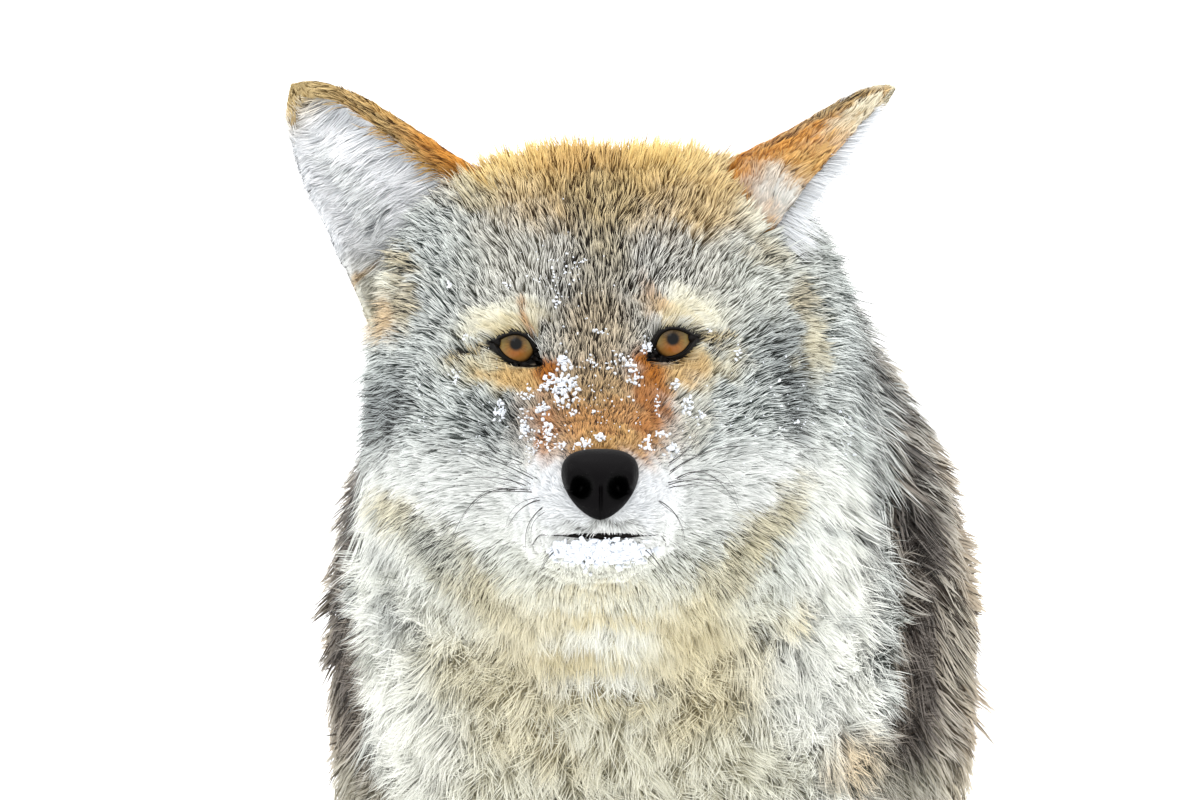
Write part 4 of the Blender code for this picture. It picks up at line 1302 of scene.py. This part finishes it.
def nose_grid():
    """The nose pad about its widest line: a flat-arched top and a blunt V below, domed, with comma
    nostrils, a wing beside each, and a groove down the middle. Returns the grid and the share of
    painted shade at each place, by how deep it lies in a nostril, a nostril's slit or the groove."""
    rings = np.concatenate([np.linspace(0.015, 1, 84), np.linspace(1.03, 1.5, 10)])
    share, turn = np.meshgrid(rings, np.arange(180) * 2 * math.pi / 180, indexing="ij")
    cos, sin = np.cos(turn), np.sin(turn)
    power, height = np.where(sin > 0, 2.7, 1.62), np.where(sin > 0, NOSE_UP, NOSE_DOWN)
    reach = (np.abs(cos / NOSE_HALF_WIDTH) ** power + np.abs(sin / height) ** power) ** (-1 / power)
    flat, over = np.minimum(share, 1.0), np.maximum(share - 1.0, 0)
    x, z = reach * cos * flat, reach * sin * flat
    edge = 1 - np.sqrt(np.clip(1 - (flat * 0.99) ** 2.8, 0, 1))
    y = NOSE_Y - NOSE_HALF_DEPTH + 0.0075 * edge + over * 0.022 + 0.0022 * smooth(0, NOSE_DOWN, -z)
    # deep: the share of painted shade, full in the nostrils and their slits, half along the groove
    deep = np.zeros_like(x)
    for side, at_x in ((-1, -0.0070), (1, 0.0067)):
        pit = bell(x, z, at_x, -0.0048, 0.0033, 0.0038, 1.1)
        slit = near_line(x, z, (at_x + side * 0.001, -0.0066), (side * 0.0136, -0.0058), 0.0012)
        wing = bell(x, z, side * 0.0118, -0.0012, 0.0022, 0.0044, 1.2)
        crease = near_line(x, z, (side * 0.0050, 0.0006), (side * 0.0104, 0.0040), 0.0011)
        y = y - 0.0016 * wing * (1 - pit)
        y = y + 0.0006 * crease
        y = y + 0.0080 * pit + 0.0024 * slit * (1 - pit)
        deep = np.maximum(deep, np.maximum(smooth(0.03, 0.25, pit), 0.9 * slit))
    groove = np.exp(-(((x - 0.0003) / 0.0007) ** 2)) * (1 - smooth(-0.006, -0.001, z)) * (1 - over.clip(0, 1))
    y = y + 0.0014 * groove - 0.0006 * bell(x, z, 0, 0.0055, 0.009, 0.0035)
    x, z = x * (1 - over * 0.30), z * (1 - over * 0.30)
    return np.stack([x, y - EYES_AHEAD, z + NOSE_MIDDLE], axis=-1), np.maximum(deep, 0.5 * groove)


def build_nose(material):
    """The nose pad, near black, lighter on top with a painted sheen, and with painted shade that blackens the
    nostrils and darkens the groove.
    """
    grid, deep = nose_grid()
    # painted sheen lightens the top of the pad; painted shade blackens the nostrils and darkens the groove
    top = smooth(-0.002, 0.009, grid[..., 2] - NOSE_MIDDLE)
    colour = mix(*(linear(shade) for shade in NOSE_BLACKS), top[..., None]) * (1 - deep[..., None])
    return sheet("nose_leather", grid, material, colour)


def build_lips(hide, material):
    """The line of the mouth: a dark band that runs along the hide at the height of the mouth, from the
    front of the muzzle back along both sides, and thins out: the lips' own black, which also fills the
    gap where they part as painted shade of the mouth's inside."""
    first, bend, last = (station * ROWS_PER_STATION for station in LIPS_RUN)
    rows = np.arange(int(first), int(last))
    line = MOUTH_HEIGHT - LIPS_DROP * smooth(bend, last, rows)
    half_turn = COLUMNS // 2
    quarter = np.arange(half_turn // 2)
    sides = []
    for columns in (half_turn + quarter, COLUMNS - 1 - quarter):  # the lower quarters at -X and at +X
        miss = np.abs(hide.outer[rows][:, columns, 2] - line[:, None])
        best = miss.argmin(axis=1)
        good = miss.min(axis=1) < 0.0012
        sides.append(hide.grid[rows[good], columns[best[good]]])
    course = np.concatenate([sides[0][::-1], sides[1]])
    place, normal, depth = course[:, PLACE].copy(), course[:, NORMAL], course[:, DEPTH]
    for _ in range(3):
        place[1:-1] = (place[:-2] + 2 * place[1:-1] + place[2:]) / 4
    thin = LIPS_THIN * np.sin(np.linspace(0, math.pi, len(place))) ** 0.6
    thick = mouth_gap(place[:, 0]) * (place[:, 1] < LIPS_PART_BEFORE) + thin
    up = np.array([0, 0, 1.0])
    grid = []
    for across, lift in LIP_SECTION:
        surface_place = place - normal * (depth * 0.12 - lift * 0.5)[:, None]
        grid.append(surface_place + up * (thick * across)[:, None])
    grid = np.array(grid)
    # the lips' own black, and in the gap of the parted lips painted shade of the mouth's inside
    colour = np.tile(linear(LIP_BLACK), (*grid.shape[:2], 1))
    return sheet("lips", grid, material, colour, closed=False, capped=False)


# ---- Whiskers and snow --------------------------------------------------------------------------
def on_coat(hide, x, z):
    """Points and normals of the coat at places of the face plane, mm: the nearest facing grid point of
    the head, with its place corrected along the face plane."""
    head = hide.grid[: 13 * ROWS_PER_STATION].reshape(-1, hide.grid.shape[-1])
    head = head[(head[:, NORMAL][:, 1] < 0.1) & (head[:, 2] > 0.05)]
    flat = face_plane(head[:, PLACE])
    found = np.empty(len(x), int)
    for start in range(0, len(x), 256):  # in parts, to save memory
        part = slice(start, start + 256)
        miss = (flat[None, :, 0] - x[part, None]) ** 2 + (flat[None, :, 1] - z[part, None]) ** 2
        found[part] = miss.argmin(axis=1)
    point, normal = head[found, PLACE].copy(), head[found, NORMAL]
    scale = (FACE_FROM + point[:, 1] + EYES_AHEAD) / FACE_FROM / 1000
    point[:, 0], point[:, 2] = x * scale, z * scale + EYE_LEVEL
    return point, unit(normal)


def tubes(name, path, radius, material, sides=5):
    """Thin tapering tubes along courses of points (steps + 1, count, 3), closed at both ends."""
    steps, count = path.shape[0] - 1, path.shape[1]
    tangent = unit(np.gradient(path, axis=0))
    right = unit(np.cross(tangent, np.array([0.0, 1.0, 0.0]) + 0 * tangent))
    up = np.cross(right, tangent)
    turn = np.arange(sides) * 2 * math.pi / sides
    ring = right[:, :, None] * np.cos(turn)[:, None] + up[:, :, None] * np.sin(turn)[:, None]
    points = path[:, :, None] + ring * radius[:, :, None, None]
    points = points.transpose(1, 0, 2, 3).reshape(count, (steps + 1) * sides, 3)
    quads = grid_faces(steps + 1, sides, True)[:, ::-1]
    caps = np.array([np.arange(sides), steps * sides + np.arange(sides)[::-1]])
    per = (steps + 1) * sides
    first = (np.arange(count) * per)[:, None]
    corners = np.concatenate([(first + quads.reshape(1, -1)).ravel(), (first + caps.reshape(1, -1)).ravel()])
    lengths = np.concatenate([np.full(count * len(quads), 4), np.full(count * 2, sides)])
    return new_piece(name, points.reshape(-1, 3), corners, face_starts(lengths), material)


def build_whiskers(hide):
    """Whiskers from the pads beside the nose: each a curve through root, middle and tip that drifts
    back over the cheeks as 0.028 t^1.6 - 0.010 t, with two finer ones of about its course beside it."""
    rng = np.random.default_rng(400)
    marks = np.array(WHISKERS, float)
    fine = np.repeat(marks, 2, axis=0)
    for first, spread in ((0, 1.0), (2, 1.8), (4, 3.4)):
        fine[:, first : first + 2] += rng.normal(0, spread, (len(fine), 2))
    marks = np.concatenate([marks, fine])
    root, _ = on_coat(hide, marks[:, 0], marks[:, 1])
    t = np.linspace(0, 1, WHISKER_STEPS + 1)[:, None]
    x, z = (
        (1 - t) ** 2 * marks[:, i] + 2 * t * (1 - t) * marks[:, i + 2] + t**2 * marks[:, i + 4]
        for i in (0, 1)
    )
    drift = (0.028 * t**1.6 - 0.010 * t) * np.minimum(np.abs(marks[:, 4]) / 50, 1.0)
    back = root[:, 1] + EYES_AHEAD + 0.0025 + drift
    scale = (FACE_FROM + back) / FACE_FROM / 1000
    path = np.stack([x * scale, back - EYES_AHEAD, z * scale + EYE_LEVEL], axis=-1)
    thick = np.where(np.arange(len(marks)) < len(WHISKERS), WHISKER_RADIUS, FINE_WHISKER_RADIUS)
    return tubes("whiskers", path, thick * (1 - 0.75 * t), whisker_horn())


def build_snow(hide):
    """Snow caught in the coat: clumps of angular grains, each a stretched icosahedron with its corners
    moved, lying on the tips of the fur and, on top of the pad, on the nose."""
    rng = np.random.default_rng(500)
    ball, faces = unit(np.array(GRAIN_CORNERS)), np.array(GRAIN_FACES)
    x, z, size = [], [], []
    for at_x, at_z, wide, tall, tilt, count, grain in SNOW:
        a, b = rng.normal(0, 0.5, (2, count))
        turn = math.radians(tilt)
        x.append(at_x + a * wide * math.cos(turn) - b * tall * math.sin(turn))
        z.append(at_z + a * wide * math.sin(turn) + b * tall * math.cos(turn))
        size.append(grain * rng.uniform(0.45, 1.1, count))
    x, z, size = np.concatenate(x), np.concatenate(z), np.concatenate(size) / 1000
    point, normal = on_coat(hide, x, z)
    half, low, high = NOSE_SNOW
    pad = (np.abs(x) < half) & (z < high) & (z > low)
    point[pad, 1] = NOSE_Y - EYES_AHEAD - 0.002 - 0.004 * smooth(-19, -22, z[pad])
    point = point + normal * (rng.uniform(-0.2, 0.8, len(x)) * size * 0.6)[:, None]
    moved, stretched = rng.uniform(0.5, 1.5, (len(x), 12, 1)), rng.uniform(0.55, 1.5, (len(x), 1, 3))
    points = point[:, None] + ball[None] * (size / 2)[:, None, None] * moved * stretched
    corners = (faces[None] + (np.arange(len(x)) * 12)[:, None, None]).reshape(-1)
    starts = np.arange(len(corners) // 3) * 3
    piece = new_piece("snow", points.reshape(-1, 3), corners, starts, dry_snow())
    piece.data.shade_flat()
    return piece


# ---- Stage --------------------------------------------------------------------------------------
def build_stage(settings):
    """White floor and surroundings, two broad soft lamps and the camera in front."""
    scene = bpy.context.scene
    floor = bpy.data.meshes.new("studio_floor")
    far, low = FLOOR_REACH, -FLOOR_DROP
    corners = [(-far, -far, low), (far, -far, low), (far, far, low), (-far, far, low)]
    floor.from_pydata(corners, [], [(0, 1, 2, 3)])
    floor.materials.append(
        surface(
            "white_floor", Base_Color=(0.95, 0.95, 0.95, 1), Roughness=0.9, Emission_Color=(1, 1, 1, 1),
            Emission_Strength=0.35,
        )[0]
    )
    piece = bpy.data.objects.new("studio_floor", floor)
    scene.collection.objects.link(piece)
    world = bpy.data.worlds.new("studio")
    world.use_nodes = True
    background = world.node_tree.nodes["Background"]
    background.inputs["Color"].default_value = (1, 1, 1, 1)
    background.inputs["Strength"].default_value = settings.surround
    scene.world = world
    for name, place, size, power in (
        ("key_lamp", (-0.7, -1.6, 1.9), 1.4, settings.key_power),
        ("fill_lamp", (1.1, -1.4, 1.2), 1.2, settings.fill_power),
    ):
        lamp = bpy.data.lights.new(name, "AREA")
        lamp.size, lamp.energy = size, power
        holder = bpy.data.objects.new(name, lamp)
        holder.location = place
        aim = Vector(LAMPS_AIM) - Vector(place)
        holder.rotation_euler = aim.to_track_quat("-Z", "Y").to_euler()
        scene.collection.objects.link(holder)
    camera = bpy.data.cameras.new("front_camera")
    camera.lens, camera.sensor_width, camera.clip_start = settings.lens, 36, 0.05
    view = bpy.data.objects.new("front_camera", camera)
    view.location = (0, -EYES_AHEAD - FACE_FROM, EYE_LEVEL)
    view.rotation_euler = (math.pi / 2, 0, 0)
    scene.collection.objects.link(view)
    scene.camera = view
    scene.view_settings.view_transform = "Standard"


# ---- Add-on -------------------------------------------------------------------------------------
class CoyoteCoat(bpy.types.PropertyGroup):
    """How the hair is made."""

    share: bpy.props.FloatProperty(
        name="Hair share", description="Share of the full number of hairs",
        default=1.0, min=0.05, max=1.0, subtype="FACTOR",
    )
    width: bpy.props.FloatProperty(
        name="Hair width", description="Factor on the width of the coat's hairs",
        default=1.0, min=0.3, max=3.0, subtype="FACTOR",
    )
    fringe: bpy.props.FloatProperty(
        name="Ear fringe", description="Length of the long hairs at the mouth of the turned ear",
        default=0.026, min=0, max=0.04, unit="LENGTH",
    )


class CoyoteStage(bpy.types.PropertyGroup):
    """Light and camera."""

    surround: bpy.props.FloatProperty(
        name="Surround", description="Brightness of the white surroundings", default=1.6, min=0
    )
    key_power: bpy.props.FloatProperty(
        name="Key lamp", description="Power of the lamp at the upper left", default=14.0, min=0, unit="POWER"
    )
    fill_power: bpy.props.FloatProperty(
        name="Fill lamp", description="Power of the lamp at the right", default=5.0, min=0, unit="POWER"
    )
    lens: bpy.props.FloatProperty(
        name="Lens", description="Focal length of the camera, mm", default=180.0, min=20,
        subtype="DISTANCE_CAMERA",
    )


class COYOTE_OT_coat(bpy.types.Operator):
    """Build the skin and the fur of the head, neck and body"""

    bl_idname = "coyote.coat"
    bl_label = "Build Coat"

    def execute(self, context):
        settings = context.scene.coyote_coat
        hide = head_hide()
        build_skin(hide)
        build_coat(hide, guard_hair(), settings.share, settings.width)
        return {"FINISHED"}


class COYOTE_OT_ears(bpy.types.Operator):
    """Build both ears with their fur and the fringe of the turned one"""

    bl_idname = "coyote.ears"
    bl_label = "Build Ears"

    def execute(self, context):
        settings = context.scene.coyote_coat
        fur, skin = guard_hair(), bare_skin()
        for name, ear in EARS.items():
            build_ear(name, ear, fur, skin, settings.share)
        build_fringe("left", EARS["left"], fur, settings.share, settings.fringe)
        return {"FINISHED"}


class COYOTE_OT_eyes(bpy.types.Operator):
    """Build the eyeballs and their lids"""

    bl_idname = "coyote.eyes"
    bl_label = "Build Eyes"

    def execute(self, context):
        hide, rim = head_hide(), leather("lid_skin", 0.38, 0.0005, 0.3)
        for name in EYES:
            build_eye(name)
            build_lids(name, hide, rim, guard_hair(), context.scene.coyote_coat.share)
        return {"FINISHED"}


class COYOTE_OT_nose(bpy.types.Operator):
    """Build the nose pad and the line of the mouth"""

    bl_idname = "coyote.nose"
    bl_label = "Build Nose and Mouth"

    def execute(self, context):
        material = leather("nose_leather", 0.38, 0.0007, 0.5, 0.05)
        build_nose(material)
        build_lips(head_hide(), material)
        return {"FINISHED"}


class COYOTE_OT_whiskers(bpy.types.Operator):
    """Build the whiskers"""

    bl_idname = "coyote.whiskers"
    bl_label = "Build Whiskers"

    def execute(self, context):
        build_whiskers(head_hide())
        return {"FINISHED"}


class COYOTE_OT_snow(bpy.types.Operator):
    """Build the snow caught in the fur"""

    bl_idname = "coyote.snow"
    bl_label = "Build Snow"

    def execute(self, context):
        build_snow(head_hide())
        return {"FINISHED"}


class COYOTE_OT_stage(bpy.types.Operator):
    """Build the floor, the lights and the camera"""

    bl_idname = "coyote.stage"
    bl_label = "Build Stage"

    def execute(self, context):
        build_stage(context.scene.coyote_stage)
        return {"FINISHED"}


OPERATORS = (
    COYOTE_OT_coat,
    COYOTE_OT_ears,
    COYOTE_OT_eyes,
    COYOTE_OT_nose,
    COYOTE_OT_whiskers,
    COYOTE_OT_snow,
    COYOTE_OT_stage,
)


class COYOTE_PT_panel(bpy.types.Panel):
    """Settings and buttons of the coyote"""

    bl_idname = "COYOTE_PT_panel"
    bl_label = "Coyote"
    bl_space_type = "VIEW_3D"
    bl_region_type = "UI"
    bl_category = "Coyote"

    def draw(self, context):
        for settings in (context.scene.coyote_coat, context.scene.coyote_stage):
            for key in settings.__annotations__:
                self.layout.prop(settings, key)
        for operator in OPERATORS:
            self.layout.operator(operator.bl_idname)


CLASSES = (CoyoteCoat, CoyoteStage, *OPERATORS, COYOTE_PT_panel)


def register():
    """Adds the settings, the operators and the panel."""
    for item in CLASSES:
        bpy.utils.register_class(item)
    bpy.types.Scene.coyote_coat = bpy.props.PointerProperty(type=CoyoteCoat)
    bpy.types.Scene.coyote_stage = bpy.props.PointerProperty(type=CoyoteStage)


def unregister():
    """Takes them away again."""
    del bpy.types.Scene.coyote_coat, bpy.types.Scene.coyote_stage
    for item in reversed(CLASSES):
        bpy.utils.unregister_class(item)


def main():
    """Builds every piece in order."""
    register()
    bpy.ops.coyote.coat()
    bpy.ops.coyote.ears()
    bpy.ops.coyote.eyes()
    bpy.ops.coyote.nose()
    bpy.ops.coyote.whiskers()
    bpy.ops.coyote.snow()
    bpy.ops.coyote.stage()


if __name__ == "__main__":
    main()
